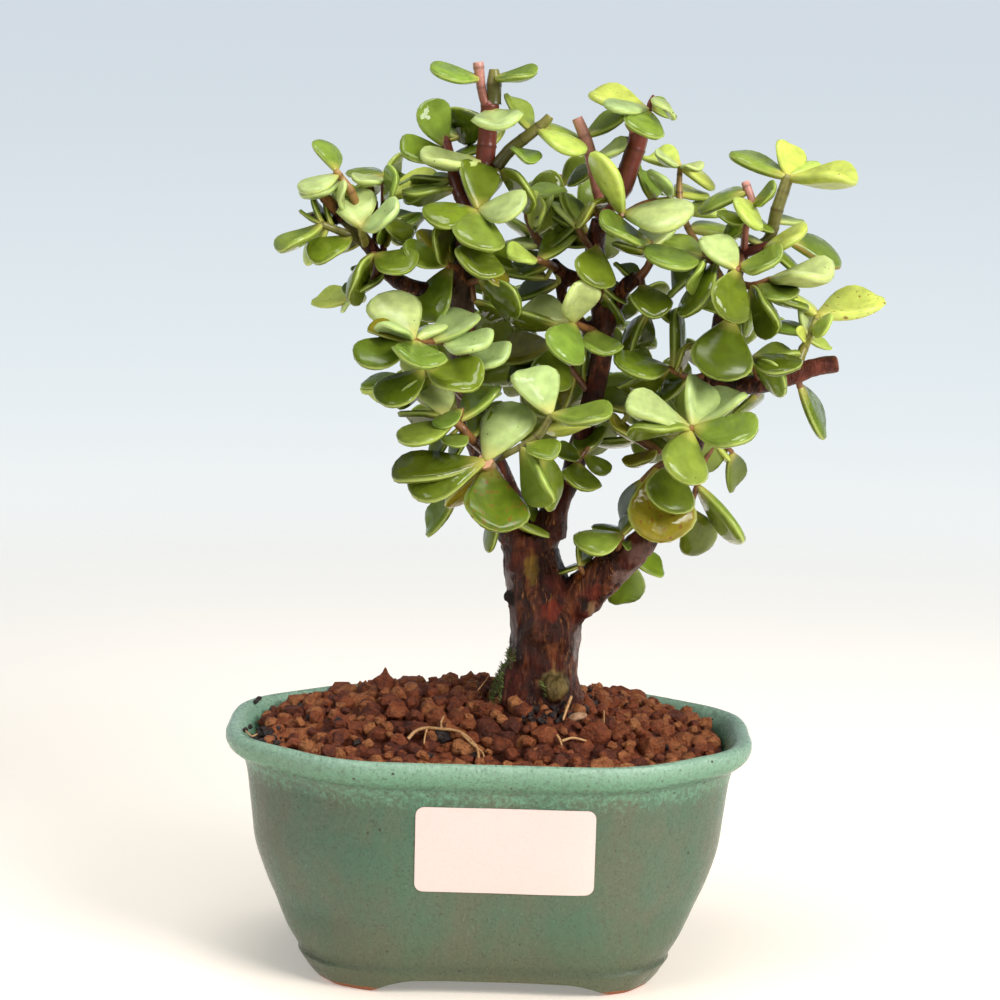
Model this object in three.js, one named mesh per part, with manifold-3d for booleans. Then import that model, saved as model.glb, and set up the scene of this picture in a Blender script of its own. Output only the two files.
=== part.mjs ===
// Dwarf jade bonsai (Portulacaria afra) in a green glazed pot.
// Millimetres, +Z up. The pot's long side lies along X and its label faces -Y.
import * as THREE from 'three';
import { mergeVertices } from 'three/addons/utils/BufferGeometryUtils.js';
import Module from 'manifold-3d';

const wasm = await Module();
wasm.setup();

// Pot
const POT_LENGTH = 152;
const POT_DEPTH = 100;
const POT_HEIGHT = 71.5;
const POT_FLOOR_TOP = 11;
const POT_RECESS_HEIGHT = 5;
const POT_CORNER_REACH = 20;
const POT_FRONT_FLAT = 84;
const POT_SIDE_FLAT = 46;
const ARCH_HEIGHT = 4.4;
const ARCH_FRONT_WIDTH = 44;
const ARCH_SIDE_WIDTH = 26;
const ARCH_END_RADIUS = 4;
const DRAIN_HOLE_RADIUS = 6;
const DRAIN_HOLE_OFFSET = 24;
const DRAIN_HOLE_SIDES = 16;
const CORNER_SPARE_SHARE = 2.2;
const CORNER_POINTS = 2;
const ARCH_POINTS = 4;

// Drainage mesh plates, laid over the holes on the pot's floor
const MESH_SIZE = 22;
const MESH_THICKNESS = 0.9;
const MESH_BARS = 3;
const MESH_BAR_WIDTH = 1.6;

// Soil
const SOIL_EDGE_SHARE = 0.905;
const SOIL_EDGE_HEIGHT = 68;
const SOIL_CROWN_RISE = 8;
const SOIL_CROWN_BACK = 8;
const SOIL_TOP_SHARES = [0.68, 0.45, 0.22];
const SOIL_STEP = 0.25;

// Roots on the soil: column, row and width in millimetres at each point
const LEFT_ROOT = [
  [408, 738, 1.8],
  [425, 727, 2],
  [440, 728, 2],
  [455, 730, 2],
  [470, 738, 2],
  [475, 752, 1.6],
  [478, 760, 1.2],
];
const RIGHT_ROOT = [
  [553, 731, 2],
  [563, 739, 2],
  [573, 738, 2],
  [588, 742, 1.6],
];

// Stones on the soil: column and row, and size along X, Y and Z
const PEBBLE_PLACE = [582, 718];
const PEBBLE_SIZE = [6, 5, 3];
const GRANULE_PLACE = [385, 684];
const GRANULE_SIZE = [6.5, 6, 6.5];

// Label
const LABEL_WIDTH = 48;
const LABEL_HEIGHT = 25;
const LABEL_THICKNESS = 0.25;
const LABEL_CORNER_RADIUS = 2.4;
const LABEL_CENTRE_X = 4.5;
const LABEL_CENTRE_Z = 46;
const LABEL_CORNER_POINTS = 3;

// Gap kept between pieces that touch
const SEAT_GAP = 0.32;

// Plant
const LIMB_DOME_SHARE = 0.3;
const TRUNK_SIDES = 8;
const STEM_SIDES = 4;
const ROOT_SIDES = 5;
const SIDEWAYS_SHARE = 0.8;
const BALL_DETAIL = 1;
const WELD_DISTANCE = 1e-4;
const BLADE_OUTLINE = [[0.5, 1], [0.86, 0.78]];
const BLADE_CREST = 0.58;
const BLADE_THICKNESS_SHARE = 0.17;
const BLADE_EDGE_GROW = 1.6;
const LEAF_LEAST_LENGTH = 1.2;
const LEAF_LEVEL_SIDE = 0.35;
const LEAF_STALK_FROM = 3.5;
const LEAF_STALK_SIDES = 3;
const LEAF_STALK_RADIUS = 0.6;
const LEAF_STALK_SHARE = 0.07;
const PAIR_FIRST = 0.12;
const PAIR_TWIST = 0.6;
const PAIR_FORWARD = 0.45;
const PAIR_TAPER = 0.25;
const PAIR_LENGTH_SHARE = 1.25;

// The view that the plant's places are read off: in front of the pot, tilted down, slightly rolled
const VIEW_FOCAL = 2800;
const VIEW_MIDDLE = 500;
const VIEW_DISTANCE = 796.3;
const VIEW_HEIGHT = 267.4;
const VIEW_SIDE = 1.4;
const VIEW_PITCH_DEG = 9.27;
const VIEW_ROLL_DEG = 1.54;

// Swellings of the bark and the moss: column, row, toward and apparent width
const TRUNK_BURLS = [
  [583, 612, 6, 26],
  [512, 597, 2, 16],
  [556, 686, 6, 28],
];
const MOSS_PAD = [516, 668, 6, 30];

// The pot's section: share of the rim's outline and height
const POT_UNDERSIDE = [
  [0, POT_RECESS_HEIGHT],
  [0.53, POT_RECESS_HEIGHT],
  [0.565, 0],
];
const POT_OUTER_WALL = [
  [0.645, 0],
  [0.672, 3.4],
  [0.697, 6.6],
  [0.722, 7.6],
  [0.757, 13.2],
  [0.8, 20],
  [0.845, 28],
  [0.887, 38],
  [0.908, 50],
  [0.925, 57],
  [0.955, 62.5],
  [0.99, 66.6],
  [1, 69],
];
const POT_LIP = [
  [0.988, 71],
  [0.965, POT_HEIGHT],
  [0.935, 70.6],
];
const POT_INNER_WALL = [
  [0.905, 67],
  [0.866, 57],
  [0.835, 40],
  [0.77, 22],
  [0.64, 12.5],
  [0.56, POT_FLOOR_TOP],
];
const POT_PROFILE = [
  ...POT_UNDERSIDE,
  ...POT_OUTER_WALL,
  ...POT_LIP,
  ...POT_INNER_WALL,
  [0, POT_FLOOR_TOP],
];

const COLOURS = {
  glaze: { color: '#6f9078', roughness: 0.35 },
  mesh: { color: '#2b2d2c', roughness: 0.6 },
  soil: { color: '#6b3f2c', roughness: 0.95 },
  label: { color: '#fdeee6', roughness: 0.5 },
  bark: { color: '#5d3528', roughness: 0.6 },
  root: { color: '#b98a5c', roughness: 0.8 },
  moss: { color: '#4c6a26', roughness: 0.95 },
  pebble: { color: '#b99a78', roughness: 0.9 },
};

// Leaf colours: pale, bright, lime, middle, dark and olive.
const LEAF_TONES = {
  p: { color: '#a9c46e', roughness: 0.35 },
  b: { color: '#8fb030', roughness: 0.35 },
  l: { color: '#c2cf4a', roughness: 0.4 },
  m: { color: '#6f8f35', roughness: 0.35 },
  d: { color: '#55701f', roughness: 0.35 },
  o: { color: '#7d7a30', roughness: 0.4 },
};

// Solids

function toManifold(geometry) {
  const bare = geometry.clone();
  bare.deleteAttribute('normal');
  bare.deleteAttribute('uv');
  const merged = mergeVertices(bare, WELD_DISTANCE);
  const vertProperties = new Float32Array(merged.attributes.position.array);
  const triVerts = new Uint32Array(merged.index.array);
  return new wasm.Manifold(new wasm.Mesh({ numProp: 3, vertProperties, triVerts }));
}

function toGeometry(solid) {
  const mesh = solid.getMesh();
  const geometry = new THREE.BufferGeometry();
  geometry.setAttribute('position', new THREE.BufferAttribute(new Float32Array(mesh.vertProperties), 3));
  geometry.setIndex(new THREE.BufferAttribute(new Uint32Array(mesh.triVerts), 1));
  return geometry;
}

function indexedGeometry(points, faces) {
  const geometry = new THREE.BufferGeometry();
  const places = points.flatMap((p) => [p.x, p.y, p.z]);
  geometry.setAttribute('position', new THREE.Float32BufferAttribute(places, 3));
  geometry.setIndex(faces.flat());
  return geometry;
}

// Rings of equal point count, joined into one closed solid with a pole at each end.
function loft(startPole, rings, endPole) {
  const count = rings[0].length;
  const points = [startPole, ...rings.flat(), endPole];
  const last = points.length - 1;
  const at = (ring, k) => 1 + ring * count + (k % count);
  const faces = [];
  for (let k = 0; k < count; k += 1) {
    faces.push([0, at(0, k + 1), at(0, k)]);
    faces.push([last, at(rings.length - 1, k), at(rings.length - 1, k + 1)]);
    for (let ring = 0; ring + 1 < rings.length; ring += 1) {
      faces.push([at(ring, k), at(ring, k + 1), at(ring + 1, k + 1)]);
      faces.push([at(ring, k), at(ring + 1, k + 1), at(ring + 1, k)]);
    }
  }
  return indexedGeometry(points, faces);
}

// Pot

// A long octagon with generous round corners, as the rim shows from above.
function rimOutline() {
  const a = POT_LENGTH / 2;
  const b = POT_DEPTH / 2;
  const fx = POT_FRONT_FLAT / 2;
  const fy = POT_SIDE_FLAT / 2;
  const corners = [[a, -fy], [a, fy], [fx, b], [-fx, b], [-a, fy], [-a, -fy], [-fx, -b], [fx, -b]];
  const outline = [];
  corners.forEach(([x, y], index) => {
    const before = new THREE.Vector2(...corners.at(index - 1));
    const after = new THREE.Vector2(...corners[(index + 1) % corners.length]);
    const corner = new THREE.Vector2(x, y);
    const toBefore = corner.distanceTo(before);
    const toAfter = corner.distanceTo(after);
    const reach = Math.min(POT_CORNER_REACH, toBefore / CORNER_SPARE_SHARE, toAfter / CORNER_SPARE_SHARE);
    const start = corner.clone().lerp(before, reach / toBefore);
    const end = corner.clone().lerp(after, reach / toAfter);
    const bend = new THREE.QuadraticBezierCurve(start, corner, end);
    outline.push(...bend.getPoints(CORNER_POINTS));
  });
  return outline;
}

function scaledRing(outline, share, height, inset = 0) {
  return outline.map((p) => {
    const reach = p.length();
    const scale = share - inset / reach;
    return new THREE.Vector3(p.x * scale, p.y * scale, height);
  });
}

function profileSolid(outline, profile, inset = 0) {
  const rings = profile.slice(1, -1).map(([share, height]) => scaledRing(outline, share, height, inset));
  const start = new THREE.Vector3(0, 0, profile[0][1]);
  const end = new THREE.Vector3(0, 0, profile[profile.length - 1][1]);
  return loft(start, rings, end);
}

// The gap between two feet, seen along the pot's side: flat on top with round ends.
function archCutter(width, length, along) {
  const half = width / 2;
  const shape = new THREE.Shape();
  shape.moveTo(-half - ARCH_END_RADIUS, -1);
  shape.lineTo(half + ARCH_END_RADIUS, -1);
  shape.lineTo(half + ARCH_END_RADIUS, 0);
  shape.quadraticCurveTo(half, 0, half - ARCH_END_RADIUS, ARCH_HEIGHT);
  shape.lineTo(-half + ARCH_END_RADIUS, ARCH_HEIGHT);
  shape.quadraticCurveTo(-half, 0, -half - ARCH_END_RADIUS, 0);
  const geometry = new THREE.ExtrudeGeometry(shape, {
    depth: length,
    bevelEnabled: false,
    curveSegments: ARCH_POINTS,
  });
  geometry.translate(0, 0, -length / 2);
  geometry.rotateX(Math.PI / 2);
  if (along === 'x') {
    geometry.rotateZ(Math.PI / 2);
  }
  return toManifold(geometry);
}

function drainHole(x) {
  const height = POT_FLOOR_TOP * 2;
  const hole = new THREE.CylinderGeometry(DRAIN_HOLE_RADIUS, DRAIN_HOLE_RADIUS, height, DRAIN_HOLE_SIDES);
  hole.rotateX(Math.PI / 2);
  hole.translate(x, 0, POT_FLOOR_TOP / 2);
  return toManifold(hole);
}

function potSolid(outline) {
  let pot = toManifold(profileSolid(outline, POT_PROFILE));
  pot = pot.subtract(archCutter(ARCH_FRONT_WIDTH, POT_DEPTH, 'y'));
  pot = pot.subtract(archCutter(ARCH_SIDE_WIDTH, POT_LENGTH, 'x'));
  pot = pot.subtract(drainHole(-DRAIN_HOLE_OFFSET));
  return pot.subtract(drainHole(DRAIN_HOLE_OFFSET));
}

// Share of the rim's outline that the outer wall has at a height.
function outerShare(height) {
  const above = POT_OUTER_WALL.findIndex(([, z]) => z > height);
  const [s0, z0] = POT_OUTER_WALL[above - 1];
  const [s1, z1] = POT_OUTER_WALL[above];
  return s0 + ((s1 - s0) * (height - z0)) / (z1 - z0);
}

// A plate with square openings.
function drainageMesh(x) {
  const pitch = (MESH_SIZE - MESH_BAR_WIDTH) / MESH_BARS;
  const open = pitch - MESH_BAR_WIDTH;
  let plate = toManifold(new THREE.BoxGeometry(MESH_SIZE, MESH_SIZE, MESH_THICKNESS));
  for (let i = 0; i < MESH_BARS; i += 1) {
    for (let j = 0; j < MESH_BARS; j += 1) {
      const opening = new THREE.BoxGeometry(open, open, MESH_THICKNESS * 2);
      opening.translate((i - (MESH_BARS - 1) / 2) * pitch, (j - (MESH_BARS - 1) / 2) * pitch, 0);
      plate = plate.subtract(toManifold(opening));
    }
  }
  const geometry = toGeometry(plate);
  geometry.translate(x, 0, POT_FLOOR_TOP + SEAT_GAP + MESH_THICKNESS / 2);
  return geometry;
}

// A rounded rectangle that follows the front wall's slope.
function labelGeometry() {
  const w = LABEL_WIDTH / 2;
  const h = LABEL_HEIGHT / 2;
  const r = LABEL_CORNER_RADIUS;
  const shape = new THREE.Shape();
  shape.moveTo(-w + r, -h);
  shape.lineTo(w - r, -h);
  shape.absarc(w - r, -h + r, r, -Math.PI / 2, 0);
  shape.lineTo(w, 0);
  shape.absarc(w - r, h - r, r, 0, Math.PI / 2);
  shape.lineTo(-w + r, h);
  shape.absarc(-w + r, h - r, r, Math.PI / 2, Math.PI);
  shape.lineTo(-w, 0);
  shape.absarc(-w + r, -h + r, r, Math.PI, Math.PI * 1.5);
  const geometry = new THREE.ExtrudeGeometry(shape, {
    depth: LABEL_THICKNESS,
    bevelEnabled: false,
    curveSegments: LABEL_CORNER_POINTS,
  });
  const position = geometry.attributes.position;
  for (let k = 0; k < position.count; k += 1) {
    const x = LABEL_CENTRE_X + position.getX(k);
    const z = LABEL_CENTRE_Z + position.getY(k);
    const wall = (outerShare(z) * POT_DEPTH) / 2;
    position.setXYZ(k, x, -wall - SEAT_GAP - position.getZ(k), z);
  }
  return geometry;
}

// Places read off the view. A column and a row count from the view's top left corner, toward is how many
// millimetres the place stands in front of the pot's middle plane, and an apparent width is in the same
// units as a column.
const rollCos = Math.cos(THREE.MathUtils.degToRad(VIEW_ROLL_DEG));
const rollSin = Math.sin(THREE.MathUtils.degToRad(VIEW_ROLL_DEG));
const pitchCos = Math.cos(THREE.MathUtils.degToRad(VIEW_PITCH_DEG));
const pitchSin = Math.sin(THREE.MathUtils.degToRad(VIEW_PITCH_DEG));
const EYE = new THREE.Vector3(VIEW_SIDE, -VIEW_DISTANCE, VIEW_HEIGHT);

function viewReach(column, row, toward) {
  const down = (-rollSin * (column - VIEW_MIDDLE) + rollCos * (row - VIEW_MIDDLE)) / VIEW_FOCAL;
  return (VIEW_DISTANCE - toward) / (pitchCos - down * pitchSin);
}

function fromView(column, row, toward) {
  const across = (rollCos * (column - VIEW_MIDDLE) + rollSin * (row - VIEW_MIDDLE)) / VIEW_FOCAL;
  const down = (-rollSin * (column - VIEW_MIDDLE) + rollCos * (row - VIEW_MIDDLE)) / VIEW_FOCAL;
  const reach = viewReach(column, row, toward);
  return new THREE.Vector3(
    across * reach + VIEW_SIDE,
    -toward,
    VIEW_HEIGHT - (pitchSin + down * pitchCos) * reach,
  );
}

function sizeFromView(width, column, row, toward) {
  return (width * viewReach(column, row, toward)) / VIEW_FOCAL;
}

// Wood

// A point of a limb's middle line and the limb's radius there.
function limbPoint([column, row, toward, width]) {
  return { centre: fromView(column, row, toward), radius: sizeFromView(width, column, row, toward) / 2 };
}

// A round limb through its points, with a little dome at each end.
function limbSolid(points, sides, grow = 0) {
  const side = new THREE.Vector3();
  const rings = points.map(({ centre, radius }, index) => {
    const before = points[Math.max(index - 1, 0)].centre;
    const after = points[Math.min(index + 1, points.length - 1)].centre;
    const along = after.clone().sub(before).normalize();
    if (index === 0) {
      side.set(1, 0, 0);
      if (Math.abs(along.x) > SIDEWAYS_SHARE) {
        side.set(0, 1, 0);
      }
    }
    side.addScaledVector(along, -side.dot(along)).normalize();
    const out = along.clone().cross(side);
    return Array.from({ length: sides }, (_, k) => {
      const turn = (k * 2 * Math.PI) / sides;
      return centre
        .clone()
        .addScaledVector(side, Math.cos(turn) * (radius + grow))
        .addScaledVector(out, Math.sin(turn) * (radius + grow));
    });
  });
  const dome = (end, inner) => {
    const outward = end.centre.clone().sub(inner.centre).normalize();
    return end.centre.clone().addScaledVector(outward, end.radius * LIMB_DOME_SHARE + grow);
  };
  const last = points.length - 1;
  return toManifold(loft(dome(points[0], points[1]), rings, dome(points[last], points[last - 1])));
}

// A rounded swelling on the bark.
function burl(point, grow = 0) {
  const { centre, radius } = limbPoint(point);
  const ball = new THREE.IcosahedronGeometry(radius + grow, BALL_DETAIL);
  ball.translate(centre.x, centre.y, centre.z);
  return toManifold(ball);
}

// Leaves

// A fleshy spoon-shaped blade: widest past its middle, round at the tip and thickest along its middle.
function bladeSolid(base, axis, normal, length, width, grow = 0) {
  const across = normal.clone().cross(axis).normalize();
  const half = width / 2 + grow * BLADE_EDGE_GROW;
  const place = (along, aside, raised) =>
    base
      .clone()
      .addScaledVector(axis, along)
      .addScaledVector(across, aside)
      .addScaledVector(normal, raised);
  const right = BLADE_OUTLINE.map(([along, share]) => place(along * length, share * half, 0));
  const left = BLADE_OUTLINE.map(([along, share]) => place(along * length, -share * half, 0)).reverse();
  const tip = place(length + grow * BLADE_EDGE_GROW, 0, 0);
  const rim = [place(-grow, 0, 0), ...right, tip, ...left];
  const bulge = (BLADE_THICKNESS_SHARE * width) / 2 + grow;
  const top = rim.length;
  const bottom = rim.length + 1;
  const points = [...rim, place(length * BLADE_CREST, 0, bulge), place(length * BLADE_CREST, 0, -bulge)];
  const faces = rim.flatMap((_, k) => {
    const next = (k + 1) % rim.length;
    return [[top, next, k], [bottom, k, next]];
  });
  return toManifold(indexedGeometry(points, faces));
}

// Nearest place on a shoot's stems, as it shows in the view.
function nearestOnStems(stems, column, row) {
  let best = { apart: Infinity };
  stems.forEach((stem) => {
    for (let k = 0; k + 1 < stem.length; k += 1) {
      const [c0, r0, t0, w0] = stem[k];
      const [c1, r1, t1, w1] = stem[k + 1];
      const span = (c1 - c0) ** 2 + (r1 - r0) ** 2;
      const along = (column - c0) * (c1 - c0) + (row - r0) * (r1 - r0);
      const share = THREE.MathUtils.clamp(along / span, 0, 1);
      const next = [c1, r1, t1, w1];
      const at = [c0, r0, t0, w0].map((value, index) => value + (next[index] - value) * share);
      const apart = Math.hypot(at[0] - column, at[1] - row);
      if (apart < best.apart) {
        best = { apart, at };
      }
    }
  });
  return best.at;
}

// A leaf's place, lie and size, from its base and tip, the width that shows and the real one.
function leafPose(leafRow, stems) {
  const { baseColumn, baseRow, tipColumn, tipRow, shows, width, lean, roll } = leafRow;
  const joint = nearestOnStems(stems, baseColumn, baseRow);
  const toward = joint[2];
  const shownLength = Math.hypot(tipColumn - baseColumn, tipRow - baseRow);
  const seenLength = sizeFromView(shownLength, baseColumn, baseRow, toward);
  const seenWidth = sizeFromView(shows, baseColumn, baseRow, toward);
  const leastLength = Math.max(LEAF_LEAST_LENGTH * width, seenLength);
  const tipToward = toward + lean * Math.sqrt(leastLength ** 2 - seenLength ** 2);
  const shownBase = fromView(baseColumn, baseRow, toward);
  const jointPoint = limbPoint(joint);
  const stalked = shownBase.distanceTo(jointPoint.centre) > LEAF_STALK_FROM;
  const base = stalked ? shownBase : jointPoint.centre;
  const tip = fromView(tipColumn, tipRow, tipToward);
  const axis = tip.clone().sub(base).normalize();
  const sight = EYE.clone().sub(base).normalize();
  const aside = axis.clone().cross(sight).normalize();
  const facing = aside.clone().cross(axis);
  const turn = Math.acos(Math.min(1, seenWidth / width));
  const uprightness = Math.abs(aside.z) > LEAF_LEVEL_SIDE ? aside.z : aside.x;
  const sideShare = Math.sin(turn) * Math.sign(roll * uprightness);
  const normal = facing.multiplyScalar(Math.cos(turn)).addScaledVector(aside, sideShare);
  const length = base.distanceTo(tip);
  return { base, axis, normal, length, width, joint: jointPoint, stalked };
}

// A leaf's blade, and the short stalk that a blade standing off its stem needs.
function leafParts({ base, axis, normal, length, width, joint, stalked }, grow = 0) {
  const parts = [bladeSolid(base, axis, normal, length, width, grow)];
  if (stalked) {
    const radius = Math.max(LEAF_STALK_RADIUS, width * LEAF_STALK_SHARE);
    const inBlade = base.clone().addScaledVector(axis, LEAF_STALK_RADIUS * 2);
    const ends = [joint.centre, inBlade].map((centre) => ({ centre, radius }));
    parts.push(limbSolid(ends, LEAF_STALK_SIDES, grow));
  }
  return parts;
}

// Leaves in pairs along a stem, each pair turned a quarter from the one before.
function pairedLeaves(stem, pairs, width) {
  const points = stem.map(limbPoint);
  const curve = new THREE.CatmullRomCurve3(points.map((point) => point.centre));
  const poses = [];
  for (let pair = 0; pair < pairs; pair += 1) {
    const share = PAIR_FIRST + ((1 - PAIR_FIRST) * (pair + 0.5)) / pairs;
    const centre = curve.getPoint(share);
    const along = curve.getTangent(share);
    const side = new THREE.Vector3(0, 0, 1).cross(along).normalize();
    side.applyAxisAngle(along, (pair * Math.PI) / 2 + PAIR_TWIST);
    [1, -1].forEach((hand) => {
      const axis = side.clone().multiplyScalar(hand).addScaledVector(along, PAIR_FORWARD).normalize();
      const normal = along.clone().addScaledVector(axis, -along.dot(axis)).normalize();
      const size = width * (1 - PAIR_TAPER * share);
      const length = size * PAIR_LENGTH_SHARE;
      poses.push({ base: centre, axis, normal, length, width: size, stalked: false });
    });
  }
  return poses;
}

function stem(...rows) {
  return rows;
}

function leaf(baseColumn, baseRow, tipColumn, tipRow, shows, width, lean, roll, tone) {
  return { baseColumn, baseRow, tipColumn, tipRow, shows, width, lean, roll, tone };
}

const shoots = [];

function shoot(name, stems, leaves) {
  shoots.push({ name, stems, poses: leaves.map((row) => leafPose(row, stems)), tone: leaves[0].tone });
}

function rearShoot(name, stems, pairs, width) {
  const poses = stems.flatMap((row) => pairedLeaves(row, pairs, width));
  shoots.push({ name, stems, poses, tone: 'm' });
}

// The bare wood: trunk, limbs, and the base that runs down into the soil. Each point is a column, a row,
// toward and an apparent width.
const TRUNK_LIMBS = [
  stem([540, 770, 0, 34], [540, 735, 0, 66], [540, 700, 0, 80], [541, 684, 0, 70], [543, 660, 0, 66],
    [546, 640, 0, 66], [547, 620, 0, 68], [543, 600, 0, 66], [537, 580, 0, 60], [532, 560, 0, 56],
    [530, 530, 0, 56]),
  stem([560, 612, 2, 40], [585, 592, 4, 40], [612, 567, 8, 36], [634, 550, 12, 30], [648, 535, 14, 26],
    [662, 505, 14, 24], [680, 478, 12, 22], [694, 445, 10, 20], [703, 415, 8, 20], [712, 385, 6, 20],
    [718, 350, 4, 20], [722, 320, 2, 20], [730, 290, 0, 18], [738, 265, -2, 16], [744, 248, -4, 14]),
  stem([708, 388, 6, 20], [730, 384, 8, 20], [760, 384, 10, 20], [790, 376, 10, 20], [815, 367, 10, 19],
    [838, 364, 10, 18]),
  stem([522, 540, 0, 46], [508, 510, 2, 40], [494, 475, 4, 34], [480, 440, 4, 30], [470, 400, 4, 28],
    [464, 350, 4, 28], [461, 300, 4, 27], [464, 262, 4, 26], [468, 235, 3, 23], [471, 226, 3, 22]),
  stem([460, 290, 5, 18], [430, 290, 8, 16], [405, 285, 8, 16], [388, 272, 6, 16], [376, 255, 4, 16],
    [362, 238, 4, 15], [348, 222, 4, 13], [335, 208, 6, 13], [321, 193, 6, 12]),
  stem([374, 205, 0, 9], [372, 196, 0, 9], [368, 183, 0, 8]),
  stem([374, 250, 2, 8], [376, 228, 0, 9], [374, 205, 0, 9]),
  stem([342, 217, 5, 9], [330, 222, 2, 9], [318, 220, 2, 9], [310, 217, 4, 10]),
  stem([548, 535, 0, 40], [556, 505, 0, 28], [568, 485, -2, 22], [580, 445, -4, 21], [592, 400, -4, 22],
    [601, 360, -4, 22], [603, 330, -4, 22], [599, 285, -3, 21], [595, 245, -2, 20], [601, 220, 0, 20]),
  stem([598, 295, -3, 16], [580, 282, -3, 16], [562, 273, -2, 15], [552, 260, -1, 11]),
  stem([598, 340, -4, 14], [580, 322, -3, 12], [565, 305, -2, 12], [560, 283, -2, 11]),
  stem([603, 335, -3, 18], [616, 305, 0, 17], [624, 288, 4, 16], [638, 277, 6, 15]),
];

// Roots under the soil's surface: turn about the trunk, in degrees, and reach
const ROOT_TURNS = [
  [20, 34],
  [95, 26],
  [160, 36],
  [215, 30],
  [275, 26],
  [330, 32],
];
const ROOT_CROWN_PLACE = [540, 735, 0];
const ROOT_CROWN_HEIGHT = 66;
const ROOT_TIP_HEIGHT = 40;
const ROOT_CROWN_RADIUS = 6;
const ROOT_MIDDLE_RADIUS = 3.4;
const ROOT_TIP_RADIUS = 1;

shoot('far_left_tip', [
  stem([358, 208, 2, 9], [350, 190, 4, 9], [341, 178, 5, 8], [336, 171, 6, 7]),
  stem([348, 222, 4, 8], [354, 214, 3, 9], [358, 208, 2, 9]),
], [
  leaf(336, 172, 317, 149, 34, 10.5, -1, 1, 'b'),
  leaf(338, 175, 301, 191, 17, 11, 1, 1, 'p'),
  leaf(341, 183, 302, 198, 13, 11, 1, 1, 'p'),
  leaf(345, 181, 336, 201, 8, 9, 1, -1, 'p'),
  leaf(356, 193, 339, 190, 7, 8, -1, 1, 'l'),
]);
shoot('left_low_spray', [
  stem([366, 246, 4, 10], [362, 234, 9, 8], [361, 227, 12, 7]),
  stem([366, 246, 3, 9], [352, 236, 8, 9], [334, 229, 9, 8], [322, 224, 10, 7]),
], [
  leaf(362, 226, 349, 197, 48, 14, -1, 1, 'p'),
  leaf(361, 229, 399, 210, 22, 12.5, 1, 1, 'p'),
  leaf(322, 224, 281, 256, 15, 13, 1, 1, 'b'),
  leaf(326, 232, 299, 257, 20, 10.5, -1, 1, 'l'),
  leaf(352, 236, 314, 260, 26, 13, 1, 1, 'm'),
  leaf(322, 224, 318, 202, 12, 9, -1, 1, 'd'),
  leaf(332, 228, 330, 206, 11, 9, -1, 1, 'd'),
  leaf(318, 224, 306, 212, 14, 8, -1, 1, 'm'),
  leaf(356, 250, 343, 249, 12, 6, -1, 1, 'o'),
]);
shoot('left_maroon_stem', [
  stem([384, 260, 5, 7], [383, 228, 0, 7], [384, 202, -3, 7], [383, 178, -5, 4]),
], [
  leaf(385, 171, 354, 164, 18, 11, -1, 1, 'b'),
  leaf(384, 173, 357, 183, 14, 10, 1, 1, 'p'),
  leaf(384, 180, 357, 192, 14, 10, -1, -1, 'b'),
  leaf(384, 178, 400, 160, 16, 10, -1, -1, 'l'),
  leaf(386, 200, 401, 175, 23, 11, 1, 1, 'b'),
  leaf(384, 228, 414, 222, 30, 13, -1, -1, 'm'),
  leaf(381, 244, 384, 231, 9, 6, 1, 1, 'm'),
  leaf(386, 248, 391, 236, 8, 4, 1, 1, 'o'),
]);
shoot('leader_left_side', [
  stem([470, 214, 4, 16], [458, 190, 2, 14], [452, 165, 0, 12], [447, 148, -2, 12], [444, 136, -3, 10]),
], [
  leaf(445, 149, 423, 102, 37, 12, -1, 1, 'b'),
  leaf(447, 152, 400, 156, 31, 12.5, 1, 1, 'm'),
  leaf(452, 140, 432, 124, 11, 9, -1, 1, 'p'),
  leaf(455, 181, 415, 190, 17, 12, -1, -1, 'd'),
  leaf(452, 178, 402, 188, 24, 14, -1, 1, 'b'),
  leaf(454, 190, 402, 196, 12, 12, -1, -1, 'b'),
]);
shoot('leader_top', [
  stem([471, 222, 3, 22], [480, 190, 2, 22], [485, 160, 2, 21], [488, 130, 2, 20], [490, 104, 2, 19]),
  stem([486, 106, 3, 9], [482, 92, 3, 9], [478, 62, 3, 11]),
  stem([493, 104, 2, 16], [494, 85, 2, 15], [494, 69, 2, 10]),
], [
  leaf(478, 79, 432, 69, 15, 12.5, 1, 1, 'b'),
  leaf(500, 77, 535, 79, 14, 11, 1, 1, 'b'),
  leaf(484, 122, 456, 123, 40, 12.5, -1, -1, 'd'),
  leaf(492, 110, 502, 134, 50, 15, 1, 1, 'p'),
  leaf(477, 160, 422, 161, 17, 15, 1, 1, 'p'),
  leaf(478, 148, 453, 149, 13, 9, -1, 1, 'm'),
  leaf(497, 150, 500, 136, 10, 8, -1, 1, 'l'),
  leaf(499, 169, 537, 201, 19, 14, 1, -1, 'o'),
  leaf(497, 178, 492, 196, 11, 9, -1, 1, 'b'),
]);
shoot('leader_right_shoot', [
  stem([497, 166, 3, 14], [510, 150, 4, 13], [530, 134, 6, 12], [545, 122, 6, 10], [550, 116, 6, 9]),
], [
  leaf(531, 130, 507, 101, 14, 12, -1, 1, 'b'),
  leaf(510, 143, 531, 160, 13, 10, 1, 1, 'b'),
  leaf(541, 135, 585, 146, 15, 12.5, 1, 1, 'l'),
  leaf(544, 131, 580, 131, 12, 11, -1, 1, 'b'),
]);
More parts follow.
